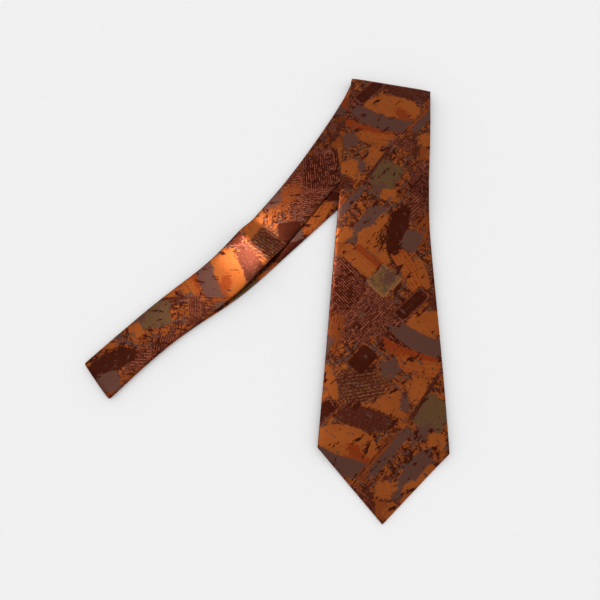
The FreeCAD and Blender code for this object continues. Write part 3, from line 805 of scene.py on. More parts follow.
def over_least(tree, pattern, least, sharp):
    """0 where a pattern is under least, and quickly 1 over it."""
    return add_node(tree, "Math", pattern, sharp, -least * sharp, operation="MULTIPLY_ADD", use_clamp=True)


def brush_over(tree, print_place, inks, colour, brush_marks):
    """Dry brush marks laid over a colour, one ink after another."""
    for ink, way, fine, least in brush_marks:
        marks = over_least(tree, brushed_noise(tree, print_place, way, fine), least, MARK_SHARP)
        colour = add_node(tree, "MixRGB", marks, colour, inks[ink])
    return colour


def ink_patterns(tree, print_place):
    """The fine spots and the broad clouds that inks break up into on silk."""
    # Spots are about 2 mm wide, and clouds about 14 mm.
    speckle = add_node(tree, "TexNoise", noise_dimensions="2D", Vector=print_place, Scale=0.5, Detail=4.0,
                       Roughness=0.7)
    cloud = add_node(tree, "TexNoise", noise_dimensions="2D", Vector=print_place, Scale=0.07, Detail=3.0)
    return {
        "spots": over_least(tree, speckle, 0.51, SPOT_SHARP),
        "clouds": over_least(tree, cloud, 0.42, CLOUD_SHARP),
    }


def uneven_ink(tree, name, patterns, inks):
    """An ink with its own changes of colour."""
    pattern, other, depth = INK_CHANGES[name]
    share = add_node(tree, "Math", patterns[pattern], depth, operation="MULTIPLY")
    return add_node(tree, "MixRGB", share, inks[name], inks[other])


def line_breaks(tree, print_place):
    """Where drawn lines are unbroken: along a shape or across it, for shapes that rise or fall."""
    breaks = {}
    for way in (1, -1):
        streaks = brushed_noise(tree, print_place, 45 * way, BREAK_FINE)
        breaks["along", way] = over_least(tree, streaks, 0.47, BREAK_SHARP)
        breaks["cross", way] = over_least(tree, streaks, 0.6, BREAK_SHARP)
    return breaks


def print_colour(tree, print_place, shape_group, inks, line_scale):
    """The whole print: its ground, every shape laid over it in turn, and the last brush marks."""
    counts = [add_node(tree, "VectorMath", print_place, row, operation="DOT_PRODUCT", out="Value")
              for row in lattice_rows()]
    lattice = add_node(tree, "CombineXYZ", *counts)
    brushed = brushed_noise(tree, print_place, 45, TEAR_FINE)
    torn = add_node(tree, "Math", brushed, 0.5, operation="SUBTRACT")
    edge_noise = add_node(tree, "Math", torn, TEAR_DEPTH, operation="MULTIPLY")
    sway = add_node(tree, "Math", torn, LINE_SWAY, operation="MULTIPLY")
    breaks = line_breaks(tree, print_place)
    patterns = ink_patterns(tree, print_place)
    colour = brush_over(tree, print_place, inks, inks["amber"], GROUND_MARKS)
    (ax, ay), (bx, by) = REPEAT
    for x, y, half_long, half_wide, turn, bow, square, tear, ink, line_ink, step, line_share in PRINT_SHAPES:
        cosine = math.cos(math.radians(turn))
        sine = math.sin(math.radians(turn))
        turns = 2 * math.pi / max(step * line_scale, 1.0)
        way = 1 if turn > 0 else -1
        shape = add_node(
            tree, "Group", out=None, node_tree=shape_group, Lattice=lattice, Middle=in_lattice(x, y),
            Long_Row=((ax * cosine + ay * sine) / half_long, (bx * cosine + by * sine) / half_long, 0),
            Wide_Row=((ay * cosine - ax * sine) / half_wide, (by * cosine - bx * sine) / half_wide, 0),
            Bow=bow * half_long ** 2 / half_wide, Square=float(square), Unsquare=1 / square,
            Edge_Gain=-half_wide / EDGE_SOFT, Edge_Start=0.5 + half_wide / EDGE_SOFT,
            Tear=-tear / EDGE_SOFT, Edge_Noise=edge_noise, Sway=sway, Line_Turns=turns * half_wide,
            Cross_Turns=turns * half_long, Line_Start=-LINE_SHARP * math.cos(math.pi * line_share),
            Along_Breaks=breaks["along", way], Cross_Breaks=breaks["cross", -way])
        fill = uneven_ink(tree, ink, patterns, inks)
        if line_ink:
            fill = add_node(tree, "MixRGB", shape.outputs["Drawn"], fill, inks[line_ink])
        colour = add_node(tree, "MixRGB", shape.outputs["Inside"], colour, fill)
    return brush_over(tree, print_place, inks, colour, LAST_MARKS)


def printed_silk(name, shape_group, shift):
    """Twill silk, woven and then screen-printed: a fine diagonal rib and a deep, coloured satin gloss."""
    settings = bpy.context.scene.necktie_print
    inks = {ink: tuple(getattr(settings, ink)) for ink in INK_CODES}
    material, tree = new_material(name)
    cloth = add_node(tree, "UVMap", uv_map="cloth")
    print_place = add_node(tree, "Mapping", cloth, Location=(*shift, 0))
    colour = print_colour(tree, print_place, shape_group, inks, settings.line_scale)
    # Silk twill has ribs 0.3 mm apart, and these are 0.8 mm so that they show.
    ribs = add_node(tree, "TexWave", wave_type="BANDS", bands_direction="DIAGONAL", Vector=print_place,
                    Scale=0.4, Distortion=0.6, Detail=1.0, out="Fac")
    slubs = add_node(tree, "TexNoise", noise_dimensions="2D", Vector=print_place, Scale=0.5, Detail=4.0)
    glossiest = settings.gloss_roughness
    roughness = add_node(tree, "MapRange", slubs, 0.0, 1.0, glossiest, glossiest + 0.08)
    bump = add_node(tree, "Bump", Height=ribs, Strength=0.1, Distance=0.0001)
    shader = add_node(tree, "BsdfPrincipled", Base_Color=colour, Roughness=roughness, Metallic=0.5, IOR=1.54,
                      Specular_IOR_Level=0.2, Specular_Tint=linear("#ffb27a"), Normal=bump)
    add_node(tree, "OutputMaterial", Surface=shader, out=None)
    return material


def wool_felt():
    """Wool interlining, woven open and brushed: matt, hairy and off-white."""
    material, tree = new_material("brushed_wool_interlining")
    cloth = add_node(tree, "UVMap", uv_map="cloth")
    # Its threads are 0.9 mm apart.
    weave = add_node(tree, "TexChecker", Vector=cloth, Scale=1.1, out="Fac")
    hairs = add_node(tree, "TexNoise", noise_dimensions="2D", Vector=cloth, Scale=1.6, Detail=5.0)
    height = add_node(tree, "Math", weave, 0.3, hairs, operation="MULTIPLY_ADD")
    bump = add_node(tree, "Bump", Height=height, Strength=0.5, Distance=0.0004)
    colour = add_node(tree, "MixRGB", hairs, linear("#cfc4ae"), linear("#b9ab90"))
    shader = add_node(tree, "BsdfPrincipled", Base_Color=colour, Roughness=0.95, Normal=bump)
    add_node(tree, "OutputMaterial", Surface=shader, out=None)
    return material


def lining_twill():
    """Rayon lining, twill woven: plain brown with fine diagonal ribs and a low sheen. Its colour is painted
    lighter on the ribs and darker between them, as painted shading, over clouds of uneven tone.
    """
    material, tree = new_material("twill_woven_rayon_lining")
    cloth = add_node(tree, "UVMap", uv_map="cloth")
    # Real ribs are 0.4 mm apart, and these are 1 mm so that they show.
    ribs = add_node(tree, "TexWave", wave_type="BANDS", bands_direction="DIAGONAL", Vector=cloth, Scale=0.32,
                    Distortion=0.4, Detail=2.0, out="Fac")
    cloud = add_node(tree, "TexNoise", noise_dimensions="2D", Vector=cloth, Scale=0.2)
    # Lighter on the ribs and darker between them is painted shading; the cloud is the cloth's own uneven
    # tone.
    share = add_node(tree, "Math", ribs, 0.5, cloud, operation="MULTIPLY_ADD")
    colour = add_node(tree, "MixRGB", share, linear("#3a1d12"), linear("#5c3320"))
    bump = add_node(tree, "Bump", Height=ribs, Strength=0.3, Distance=0.0002)
    shader = add_node(tree, "BsdfPrincipled", Base_Color=colour, Roughness=0.5, Sheen_Weight=0.2,
                      Normal=bump)
    add_node(tree, "OutputMaterial", Surface=shader, out=None)
    return material


def label_satin(name, dark, light, border):
    """Polyester label, damask woven: close satin ribs with a darker woven line inside its edges."""
    material, tree = new_material(name)
    cloth = add_node(tree, "UVMap", uv_map="cloth")
    # The ribs are 0.6 mm apart.
    ribs = add_node(tree, "TexWave", wave_type="BANDS", bands_direction="Y", Vector=cloth, Scale=0.5,
                    Distortion=0.3, Detail=2.0, out="Fac")
    colour = add_node(tree, "MixRGB", ribs, dark, light)
    height = add_node(tree, "SeparateXYZ", cloth, out=1)
    from_middle = add_node(tree, "Math", height, operation="ABSOLUTE")
    from_line = add_node(tree, "Math", from_middle, border, operation="SUBTRACT")
    off_line = add_node(tree, "Math", from_line, operation="ABSOLUTE")
    line = add_node(tree, "Math", off_line, -2.0, 1.0, operation="MULTIPLY_ADD", use_clamp=True)
    colour = add_node(tree, "MixRGB", line, colour, dark)
    bump = add_node(tree, "Bump", Height=ribs, Strength=0.25, Distance=0.0002)
    shader = add_node(tree, "BsdfPrincipled", Base_Color=colour, Roughness=0.38, Sheen_Weight=0.3,
                      Normal=bump)
    add_node(tree, "OutputMaterial", Surface=shader, out=None)
    return material


def sewing_thread():
    """Polyester sewing thread, spun and twisted: rust brown with a fine slanting twist, and a painted
    highlight along the twist's bands.
    """
    material, tree = new_material("spun_polyester_thread")
    place = add_node(tree, "TexCoord", out="Object")
    # The twist repeats every 0.5 mm.
    twist = add_node(tree, "TexWave", wave_type="BANDS", bands_direction="DIAGONAL", Vector=place,
                     Scale=640.0, Distortion=0.5, out="Fac")
    colour = tuple(bpy.context.scene.necktie_trim.thread_colour)
    # A lighter copy of the thread's own colour laid along the twist's bands: a painted highlight on the
    # ridges of the twist.
    light = tuple(min(1.0, value * 2.2) for value in colour[:3]) + (1.0,)
    shade = add_node(tree, "MixRGB", twist, colour, light)
    bump = add_node(tree, "Bump", Height=twist, Strength=0.4, Distance=0.0001)
    shader = add_node(tree, "BsdfPrincipled", Base_Color=shade, Roughness=0.6, Normal=bump)
    add_node(tree, "OutputMaterial", Surface=shader, out=None)
    return material


def pale_board():
    """Matt painted board: an even, pale surface with no gloss."""
    material, tree = new_material("matt_painted_board")
    shader = add_node(tree, "BsdfDiffuse", linear("#f9f9f9"))
    add_node(tree, "OutputMaterial", Surface=shader, out=None)
    return material


# ---- Pieces -------------------------------------------------------------------------------------

# The steps between rows of cloth, in millimetres along a strip, and the rows round the two folds
ROW_STEP = 2.4
POINT_STEP = 1.6
WIDE_ROLL_ROWS = 13
ROLL_ROWS = 9


def bend_at_tip(piece):
    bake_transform(piece)


def bend_at_neck(piece):
    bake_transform(piece)


def bend_between(piece):
    """Bakes the piece's place into its mesh."""
    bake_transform(piece)


def bend_at_top(piece):
    bend_between(piece)


def bend_at_tail(piece):
    bend_between(piece)


def ride_on_tail(piece):
    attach(piece, "tail")


def on_table(y):
    return np.zeros_like(y)


def over_low(y):
    return np.full_like(y, PITCH)


def over_lift(distance):
    """How far the over arm stands up off the under arm: it lies loose and bulges on its way."""
    rise = ease(distance, BULGE_START, BULGE_TOP)
    fall = ease(distance, BULGE_LEAVE, BULGE_END)
    return bpy.context.scene.necktie_cloth.bulge / MM * (rise - fall)


def tail_unrolled(_middle, _way, distance, over):
    return np.column_stack([-over, np.full(len(over), distance + TAIL_ROLL * math.pi)])


def tail_round(_middle, _way, angle, over):
    return np.column_stack([-over, np.full(len(over), TAIL_ROLL * (math.pi - angle))])


def neck_round(_middle, _way, angle, over):
    return np.column_stack([-over, np.full(len(over), -OVER.shoulder - NECK_HEIGHT * angle)])


def neck_under(_middle, _way, distance, over):
    far = 2 * OVER.shoulder + math.pi * NECK_HEIGHT - distance
    return np.column_stack([-over, np.full(len(over), -far)])


def fold_ends(strip, distance):
    left, right = strip.edges([distance])
    return left[0], right[0]


def to_point(cut, strip, start):
    """The distances of the rows from start to a strip's point. The interlining stops short of it."""
    body = spaced(start, strip.shoulder, ROW_STEP)
    point = spaced(strip.shoulder, strip.length - (WOOL_SHORT if cut is wool_section else 0), POINT_STEP)
    return np.concatenate([body, point[1:]])


def front_rows(cut):
    return flat_rows(cut, FRONT, to_point(cut, FRONT, BLADE_JOIN), front_low, True, plan_cloth)


def top_fold_rows(cut):
    blade = flat_rows(cut, FRONT, spaced(BLADE_JOIN, 0, ROW_STEP), front_low, True, plan_cloth)
    angles = np.linspace(0, math.pi, WIDE_ROLL_ROWS)
    ends = fold_ends(FRONT, 0)
    roll = roll_rows(cut, ends, np.zeros(2), FOLD_OUT, FOLD_HEIGHT, FRONT_ROLL, angles, fold_cloth)
    under = flat_rows(cut, UNDER, spaced(0, ARM_JOIN, ROW_STEP), on_table, False, under_cloth)
    return joined(blade, roll, under)


def tail_fold_rows(cut):
    over = flat_rows(cut, OVER, spaced(ARM_JOIN, 0, ROW_STEP), over_low, True, strip_cloth, over_lift)
    angles = np.linspace(math.pi, 0, ROLL_ROWS)
    ends = fold_ends(OVER, 0)
    roll = roll_rows(cut, ends, np.zeros(2), FOLD_OUT, FOLD_HEIGHT, TAIL_ROLL, angles, tail_round)
    tail = flat_rows(cut, TAIL, spaced(0, TAIL_JOIN, ROW_STEP), tail_low, False, tail_unrolled)
    return joined(over, roll, tail)


def neck_rows(cut):
    distances = spaced(ARM_JOIN, OVER.shoulder, ROW_STEP)
    over = flat_rows(cut, OVER, distances, over_low, True, strip_cloth, over_lift)
    ends = fold_ends(OVER, OVER.shoulder)
    angles = np.linspace(0, math.pi, ROLL_ROWS)
    roll = roll_rows(cut, ends, NECK_MIDDLE, NECK_OUT, NECK_HEIGHT, NECK_HEIGHT, angles, neck_round)
    distances = spaced(UNDER.shoulder, ARM_JOIN, ROW_STEP)
    under = flat_rows(cut, UNDER, distances, on_table, False, neck_under)
    return joined(over, roll, under)


def tail_rows(cut):
    return flat_rows(cut, TAIL, to_point(cut, TAIL, TAIL_JOIN), tail_low, False, tail_unrolled)


# Each run of cloth and wool: its name, its rows, whether the rows run back up the strip, how it moves,
# and the nodes that its cloth and its wool stand for.
RUNS = [
    ("front_blade", front_rows, False, bend_at_tip, ["front_blade_panel", "front_tip_panel"],
     ["front_blade_interlining", "front_tip_interlining"]),
    ("top_fold", top_fold_rows, True, bend_at_top, ["under_arm_panel"], ["under_arm_interlining"]),
    ("tail_fold", tail_fold_rows, True, bend_at_tail, ["over_arm_panel"], ["over_arm_interlining"]),
    ("neck_band", neck_rows, False, bend_at_neck, ["neck_panel", "front_end_panel", "tail_end_panel"],
     ["neck_interlining"]),
    ("tail", tail_rows, True, ride_on_tail, ["tail_panel"], ["tail_interlining"]),
]


def make_cloth():
    """The printed cloth: five runs that meet edge to edge where the tie doesn't bend."""
    shape_group = print_shape_group()
    blade_silk = printed_silk("printed_twill_silk", shape_group, (0.0, 0.0))
    tail_silk = printed_silk("printed_twill_silk_of_tail", shape_group, ARM_PRINT_SHIFT)
    wall = bpy.context.scene.necktie_cloth.silk_wall / MM
    for name, rows, turned, move, nodes, _ in RUNS:
        silk = blade_silk if name in ("front_blade", "top_fold") else tail_silk
        piece = sheet_piece(name + "_cloth", rows(section), wall, silk, turned)
        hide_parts(*nodes)
        move(piece)


def make_wool():
    """The interlining inside each run of cloth."""
    wool = wool_felt()
    wall = bpy.context.scene.necktie_cloth.wool_wall / MM
    for name, rows, turned, move, _, nodes in RUNS:
        piece = sheet_piece(name + "_wool", rows(wool_section), wall, wool, turned,
                            offset=0)
        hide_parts(*nodes)
        move(piece)


def make_linings():
    """The lining cloth in each lined point."""
    twill = lining_twill()
    wall = bpy.context.scene.necktie_cloth.lining_wall / MM
    for name, strip, low, face_up, unrolled, body, node in (
            ("front_lining", FRONT, front_low, True, plan_cloth, "front_tip", "front_tipping"),
            ("tail_lining", TAIL, tail_low, False, tail_unrolled, "tail", "tail_tipping")):
        start = strip.shoulder - strip.mouth
        distances = spaced(start + LINING_SHORT, strip.mouth_end() - LINING_SHORT, LINING_STEP)
        rows = flat_rows(lining_section, strip, distances, low, face_up, unrolled)
        piece = sheet_piece(name, rows, wall, twill, not face_up)
        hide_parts(node)
        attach(piece, body)


def round_corners(corners, radius, steps=5):
    """A path through corners with each one rounded off."""
    corners = [np.array(corner, float) for corner in corners]
    path = [corners[0]]
    for before, corner, after in zip(corners, corners[1:], corners[2:]):
        to_before = (before - corner) / np.linalg.norm(before - corner)
        to_after = (after - corner) / np.linalg.norm(after - corner)
        for share in np.linspace(0, 1, steps):
            first = corner + to_before * radius * (1 - share)
            second = corner + to_after * radius * share
            path.append(first * (1 - share) + second * share)
    return np.array([*path, corners[-1]])


def make_keeper():
    """The keeper loop: a band of the printed cloth round the tail, its ends sewn to the blade's back."""
    silk = bpy.data.materials["printed_twill_silk_of_tail"]
    row = -KEEPER_FROM_FOLD
    left_line, right_line = TAIL.edges(TAIL_KEEPER_PLACE)
    left = left_line[0][0] - KEEPER_SIDE_ROOM
    right = right_line[0][0] + KEEPER_SIDE_ROOM
    ply = KEEPER_PLY
    top = FRONT_LOW - KEEPER_OFF_BLADE
    low = KEEPER_OFF_TABLE
    corners = [
        (left - KEEPER_FLANGE, top), (left - ply, top), (left - ply, low),
        (right + ply, low), (right + ply, top), (right + KEEPER_FLANGE, top),
    ]
    path = round_corners(corners, KEEPER_CORNER)
    far = np.concatenate([[0.0], np.cumsum(np.linalg.norm(np.diff(path, axis=0), axis=1))])
    across = np.linspace(-KEEPER_BAND / 2, KEEPER_BAND / 2, 9)
    same = np.ones(len(across))
    places = np.array([np.column_stack([x * same, row + across, z * same]) for x, z in path])
    cloth = np.array([np.column_stack([across, distance * same]) for distance in far])
    piece = sheet_piece("keeper_band", (places, cloth), ply, silk, True)
    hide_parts("keeper_loop")
    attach(piece, "front_blade")


def make_labels():
    """The two blank labels on the blade's back, each one a flat woven piece."""
    trim = bpy.context.scene.necktie_trim
    satin = label_satin("damask_woven_label", tuple(trim.label_dark), tuple(trim.label_light),
                        LABEL_HEIGHT / 2 - LABEL_BORDER)
    tape = label_satin("satin_woven_tape", tuple(trim.tape_dark), tuple(trim.tape_light),
                       CARE_HEIGHT / 2 - CARE_BORDER)
    for name, node, slot, material, from_fold, length, height in (
            ("back_label", "blank_label", "woven_label", satin, LABEL_FROM_FOLD, LABEL_LENGTH, LABEL_HEIGHT),
            ("small_label", "care_label", "satin_tape", tape, CARE_FROM_FOLD, CARE_LENGTH, CARE_HEIGHT)):
        left, right = FRONT.edges([from_fold])
        middle = (left[0][0] + right[0][0]) / 2
        across = np.linspace(-length / 2, length / 2, 31)
        down = np.linspace(height / 2, -height / 2, 12)
        edge = np.minimum(length / 2 - np.abs(across[None, :]), height / 2 - np.abs(down[:, None]))
        z = FRONT_LOW - LABEL_OFF_BLADE - LABEL_SAG * (1 - np.exp(-edge / LABEL_EDGE))
        over, up = np.meshgrid(across, down)
        rows = np.stack([middle + over, up - from_fold, z], axis=-1), np.stack([over, up], axis=-1)
        piece = sheet_piece(name, rows, LABEL_PLY, material, True)
        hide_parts(node)
        bend_at_tip(piece)


def stitch_template():
    """One short stitch of thread, lying along X and rounded at its ends."""
    bpy.ops.object.select_all(action="DESELECT")
    trim = bpy.context.scene.necktie_trim
    bpy.ops.mesh.primitive_cylinder_add(vertices=8, radius=trim.thread / 2, depth=trim.stitch,
                                        rotation=(0, math.pi / 2, 0))
    bpy.ops.object.transform_apply(location=True, rotation=True, scale=True)
    stitch = bpy.context.object
    bpy.ops.object.mode_set(mode="EDIT")
    bpy.ops.mesh.select_all(action="SELECT")
    bpy.ops.mesh.bevel(offset=trim.thread * 0.3, segments=2, affect="EDGES", clamp_overlap=True)
    bpy.ops.object.mode_set(mode="OBJECT")
    return stitch


def thread_piece(name, template, places, thread):
    """One object of many stitches: each place is x, y, z and the turn about Z in degrees, in the plan."""
    source = np.zeros(len(template.data.vertices) * 3)
    template.data.vertices.foreach_get("co", source)
    source = source.reshape(-1, 3)
    faces = [tuple(face.vertices) for face in template.data.polygons]
    points = []
    polygons = []
    for x, y, z, turn in places:
        cosine = math.cos(math.radians(turn))
        sine = math.sin(math.radians(turn))
        turned = source @ np.array([[cosine, sine, 0], [-sine, cosine, 0], [0, 0, 1]])
        polygons += [tuple(v + len(points) * len(source) for v in face) for face in faces]
        points.append(turned + to_frame((x, y, z)))
    mesh = bpy.data.meshes.new(name)
    mesh.from_pydata(np.concatenate(points).tolist(), [], polygons)
    mesh.materials.append(thread)
    piece = bpy.data.objects.new(name, mesh)
    bpy.context.scene.collection.objects.link(piece)
    for face in mesh.polygons:
        face.use_smooth = True
    return piece


def seam_places(strip, start, end, height):
    """Slip stitches along a strip's lapped back seam, slanting a little over its free edge."""
    distances = spaced(start, end, bpy.context.scene.necktie_trim.stitch_step / MM)
    left, right = strip.edges(distances)
    places = []
    for index in range(len(distances)):
        way = (left[index] - right[index]) / np.linalg.norm(left[index] - right[index])
        middle = (left[index] + right[index]) / 2 - way * STITCH_OFF_MIDDLE
        turn = math.degrees(math.atan2(way[1], way[0])) + STITCH_SLANT
        places.append((middle[0], middle[1], height(middle[1], distances[index]), turn))
    return places


def bias_places(x, strip, height):
    """The row of stitches over a bias seam, straight up the plan at x."""
    distances = np.linspace(0, strip.shoulder, 400)
    left, right = strip.edges(distances)
    low = right[np.argmin(np.abs(right[:, 0] - x))][1]
    high = left[np.argmin(np.abs(left[:, 0] - x))][1]
    return [(x, y, height, 0) for y in np.linspace(low + BIAS_SHORT, high - BIAS_SHORT, BIAS_STITCHES)]


def tack_places(middle_x, from_fold, half_x, half_y, height):
    """One stitch near each corner of what is tacked down."""
    corners = [(-1, -1), (-1, 1), (1, -1), (1, 1)]
    return [(middle_x + side * half_x, -from_fold + end * half_y, height, 0) for side, end in corners]


def bar_places(strip, low):
    """The thick bar tack that closes a back seam over its lined mouth."""
    left, right = strip.edges([strip.shoulder - strip.mouth - BAR_ABOVE_MOUTH])
    x, y = (left[0] + right[0]) / 2
    return [(x + step, y + row, low, 0) for step in BAR_STEPS for row in BAR_ROWS]


def make_threads():
    """Every visible thread: slip stitches, bias seams, label tacks and bar tacks."""
    thread = sewing_thread()
    template = stitch_template()

    def under_blade(y, _distance):
        return float(front_low(y)) + 0.02

    def over_tail(y, _distance):
        return float(tail_low(y)) + LAYER - 0.02

    def over_under_arm(_y, _distance):
        return LAYER - 0.02

    def under_over_arm(_y, distance):
        return PITCH + 0.04 + float(over_lift(distance))

    front_end = FRONT.shoulder - FRONT_MOUTH - BLADE_SEAM_SHORT
    tail_end = TAIL.shoulder - TAIL_MOUTH - BLADE_SEAM_SHORT
    front = seam_places(FRONT, BLADE_SEAM_START, front_end, under_blade)
    tail = seam_places(TAIL, BLADE_SEAM_START, tail_end, over_tail)
    arms = seam_places(UNDER, ARM_SEAM_START, UNDER.shoulder - ARM_SEAM_SHORT, over_under_arm)
    arms += seam_places(OVER, ARM_SEAM_START, OVER.shoulder - ARM_SEAM_SHORT, under_over_arm)
    label_x = float(sum(edge[0][0] for edge in FRONT.edges([LABEL_FROM_FOLD]))) / 2
    care_x = float(sum(edge[0][0] for edge in FRONT.edges([CARE_FROM_FOLD]))) / 2
    tail_edges = TAIL.edges(TAIL_KEEPER_PLACE)
    keeper_x = (tail_edges[0][0][0] + tail_edges[1][0][0]) / 2
    keeper_half = (tail_edges[1][0][0] - tail_edges[0][0][0]) / 2 + KEEPER_SIDE_ROOM + KEEPER_FLANGE / 2
    label_low = FRONT_LOW - LABEL_PLY - 0.04
    label_tacks = tack_places(label_x, LABEL_FROM_FOLD, LABEL_LENGTH / 2 - 2.4, LABEL_HEIGHT / 2 - 1.2,
                              label_low)
    care_tacks = tack_places(care_x, CARE_FROM_FOLD, CARE_LENGTH / 2 - 2.2, CARE_HEIGHT / 2 - 1, label_low)
    keeper_tacks = tack_places(keeper_x, KEEPER_FROM_FOLD, keeper_half, KEEPER_BAND / 3,
                               FRONT_LOW - KEEPER_PLY - 0.06)
    made = [
        ("front_blade_seam_thread", front, bend_at_tip,
         ["front_blade_slip_stitches", "front_tip_slip_stitches"]),
        ("tail_seam_thread", tail, ride_on_tail, ["tail_slip_stitches"]),
        ("arm_seam_thread", arms, bend_at_neck,
         ["under_arm_slip_stitches", "over_arm_slip_stitches", "neck_slip_stitches"]),
        ("tail_neck_bias_thread", bias_places(TAIL_SEAM_X, OVER, PITCH + LAYER + 0.03), bend_at_neck,
         ["tail_neck_seam_stitches"]),
        ("front_neck_bias_thread", bias_places(FRONT_SEAM_X, UNDER, 0.06), bend_at_neck,
         ["front_neck_seam_stitches"]),
        ("back_label_thread", label_tacks, bend_at_tip, ["blank_label_tacks"]),
        ("small_label_thread", care_tacks, bend_at_tip, ["care_label_tacks"]),
        ("keeper_thread", keeper_tacks, bend_at_tip, ["keeper_tacks"]),
        ("front_bar_thread", bar_places(FRONT, FRONT_LOW - 0.05), bend_at_tip, ["front_bar_tack"]),
        ("tail_bar_thread", bar_places(TAIL, TAIL_LOW + LAYER + 0.05), ride_on_tail, ["tail_bar_tack"]),
    ]
    for name, places, move, nodes in made:
        piece = thread_piece(name, template, places, thread)
        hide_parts(*nodes)
        move(piece)
    bpy.data.objects.remove(template)


# ---- Stage --------------------------------------------------------------------------------------

# The camera's place over the tie, in millimetres of the plan, its turn in degrees, and its lens in mm
CAMERA_PLACE = (-67.75, -331.62, 415.47)
CAMERA_TURN = (16.86, 2.18, 0.32)
CAMERA_LENS = 30.83

# The lamps, in millimetres of the plan. The small softbox has a narrow beam, in degrees.
SUN_PLACE = (-200, 100, 900)
LAMP_PLACE = (-241, 53, 563)
LAMP_AIM = (-126, -150, 9)
LAMP_SIZE = 0.09
LAMP_SPREAD = 22

# The floor, in metres
FLOOR_SIZE = 6.0
FLOOR_GAP = 0.0002


def make_camera():
    camera = bpy.data.cameras.new("camera")
    camera.lens = CAMERA_LENS
    camera.sensor_width = 36.0
    camera.clip_start = 0.01
    camera.clip_end = 20
    holder = bpy.data.objects.new("camera", camera)
    holder.location = to_frame(CAMERA_PLACE)
    holder.rotation_euler = Euler([math.radians(value) for value in CAMERA_TURN])
    bpy.context.scene.collection.objects.link(holder)
    bpy.context.scene.camera = holder


def make_floor():
    bpy.ops.object.select_all(action="DESELECT")
    bpy.ops.mesh.primitive_plane_add(size=FLOOR_SIZE, location=(0, 0, -FLOOR_GAP))
    floor = bpy.context.object
    floor.name = "floor"
    floor.data.materials.append(pale_board())
    return floor


def hang_light(light, place, aim):
    """Puts a lamp at its place, turned to what it is aimed at."""
    holder = bpy.data.objects.new(light.name, light)
    holder.location = to_frame(place)
    way = Vector(place) - Vector(aim)
    holder.rotation_euler = way.to_track_quat("Z", "Y").to_euler()
    bpy.context.scene.collection.objects.link(holder)
    return holder


def make_lights(floor):
    """A soft white room, a broad lamp high up, and a small softbox that glances off the silk only."""
    stage = bpy.context.scene.necktie_stage
    world = bpy.data.worlds.new("soft_white_room")
    world.use_nodes = True
    world.node_tree.nodes["Background"].inputs["Color"].default_value = (1, 1, 1, 1)
    world.node_tree.nodes["Background"].inputs["Strength"].default_value = stage.room_light
    bpy.context.scene.world = world
    bpy.context.scene.view_settings.view_transform = "Standard"
    sun = bpy.data.lights.new("high_softbox", "SUN")
    sun.energy = stage.sun_light
    sun.angle = math.radians(25)
    hang_light(sun, SUN_PLACE, (0, 0, 0))
    lamp = bpy.data.lights.new("small_softbox", "AREA")
    lamp.shape = "DISK"
    lamp.size = LAMP_SIZE
    lamp.spread = math.radians(LAMP_SPREAD)
    lamp.energy = stage.lamp_power
    softbox = hang_light(lamp, LAMP_PLACE, LAMP_AIM)
    unlit = bpy.data.collections.new("unlit_by_small_softbox")
    unlit.objects.link(floor)
    unlit.collection_objects[0].light_linking.link_state = "EXCLUDE"
    softbox.light_linking.receiver_collection = unlit


# ---- Add-on -------------------------------------------------------------------------------------


def length_property(name, description, default_mm):
    """A length that the user sees in the scene's own units."""
    return bpy.props.FloatProperty(name=name, description=description, default=default_mm * MM,
                                   min=0.0, precision=5, unit="LENGTH", subtype="DISTANCE")


def colour_property(name, description, code):
    return bpy.props.FloatVectorProperty(name=name, description=description, default=linear(code),
                                         size=4, min=0.0, max=1.0, subtype="COLOR")


class NecktieCloth(bpy.types.PropertyGroup):
    """Sizes of the layers of cloth."""
    silk_wall: length_property("Silk", "Thickness of the printed silk", SILK_WALL)
    wool_wall: length_property("Interlining", "Thickness of the wool interlining", WOOL_WALL)
    lining_wall: length_property("Lining", "Thickness of the lining in the points", LINING_WALL)
    bulge: length_property("Bulge", "How far the loose upper arm stands up off the lower one", BULGE)
    waves: length_property("Waves", "Height of the slight waves in the soft cloth", WAVES)


class NecktiePrint(bpy.types.PropertyGroup):
    """The inks and the drawing of the print."""
    tan: colour_property("Tan", "The ink of the open fields", INK_CODES["tan"])
    amber: colour_property("Amber", "The ink of the ground", INK_CODES["amber"])
    rust: colour_property("Rust", "The ink of the red-brown bands", INK_CODES["rust"])
    wine: colour_property("Wine", "The darkest ink", INK_CODES["wine"])
    plum: colour_property("Plum", "The ink of the dark blocks", INK_CODES["plum"])
    slate: colour_property("Slate", "The grey-brown ink", INK_CODES["slate"])
    mauve: colour_property("Mauve", "The ink that mottles slate and plum", INK_CODES["mauve"])
    olive: colour_property("Olive", "The green-brown ink", INK_CODES["olive"])
    rose: colour_property("Rose", "The ink of the fine lines on dark blocks", INK_CODES["rose"])
    sand: colour_property("Sand", "The palest ink", INK_CODES["sand"])
    line_scale: bpy.props.FloatProperty(
        name="Line spacing", description="Spacing of the drawn lines, as a factor",
        default=0.8, min=0.5, max=3.0, subtype="FACTOR")
    gloss_roughness: bpy.props.FloatProperty(
        name="Roughness", description="How dull the silk is at its glossiest",
        default=0.25, min=0.05, max=1.0, subtype="FACTOR")


class NecktieTrim(bpy.types.PropertyGroup):
    """Threads and labels."""
    thread: length_property("Thread", "Thickness of the sewing thread", THREAD)
    stitch: length_property("Stitch", "Length of one stitch", STITCH_LENGTH)
    stitch_step: length_property("Stitch step", "Distance from one slip stitch to the next", STITCH_STEP)
    thread_colour: colour_property("Thread colour", "Colour of the sewing thread", "#5a2412")
    label_dark: colour_property("Label, dark", "The darker threads of the label", "#2c1a12")
    label_light: colour_property("Label, light", "The lighter threads of the label", "#54382a")
    tape_dark: colour_property("Tape, dark", "The darker threads of the small label", "#b9a888")
    tape_light: colour_property("Tape, light", "The lighter threads of the small label", "#d8cbb0")


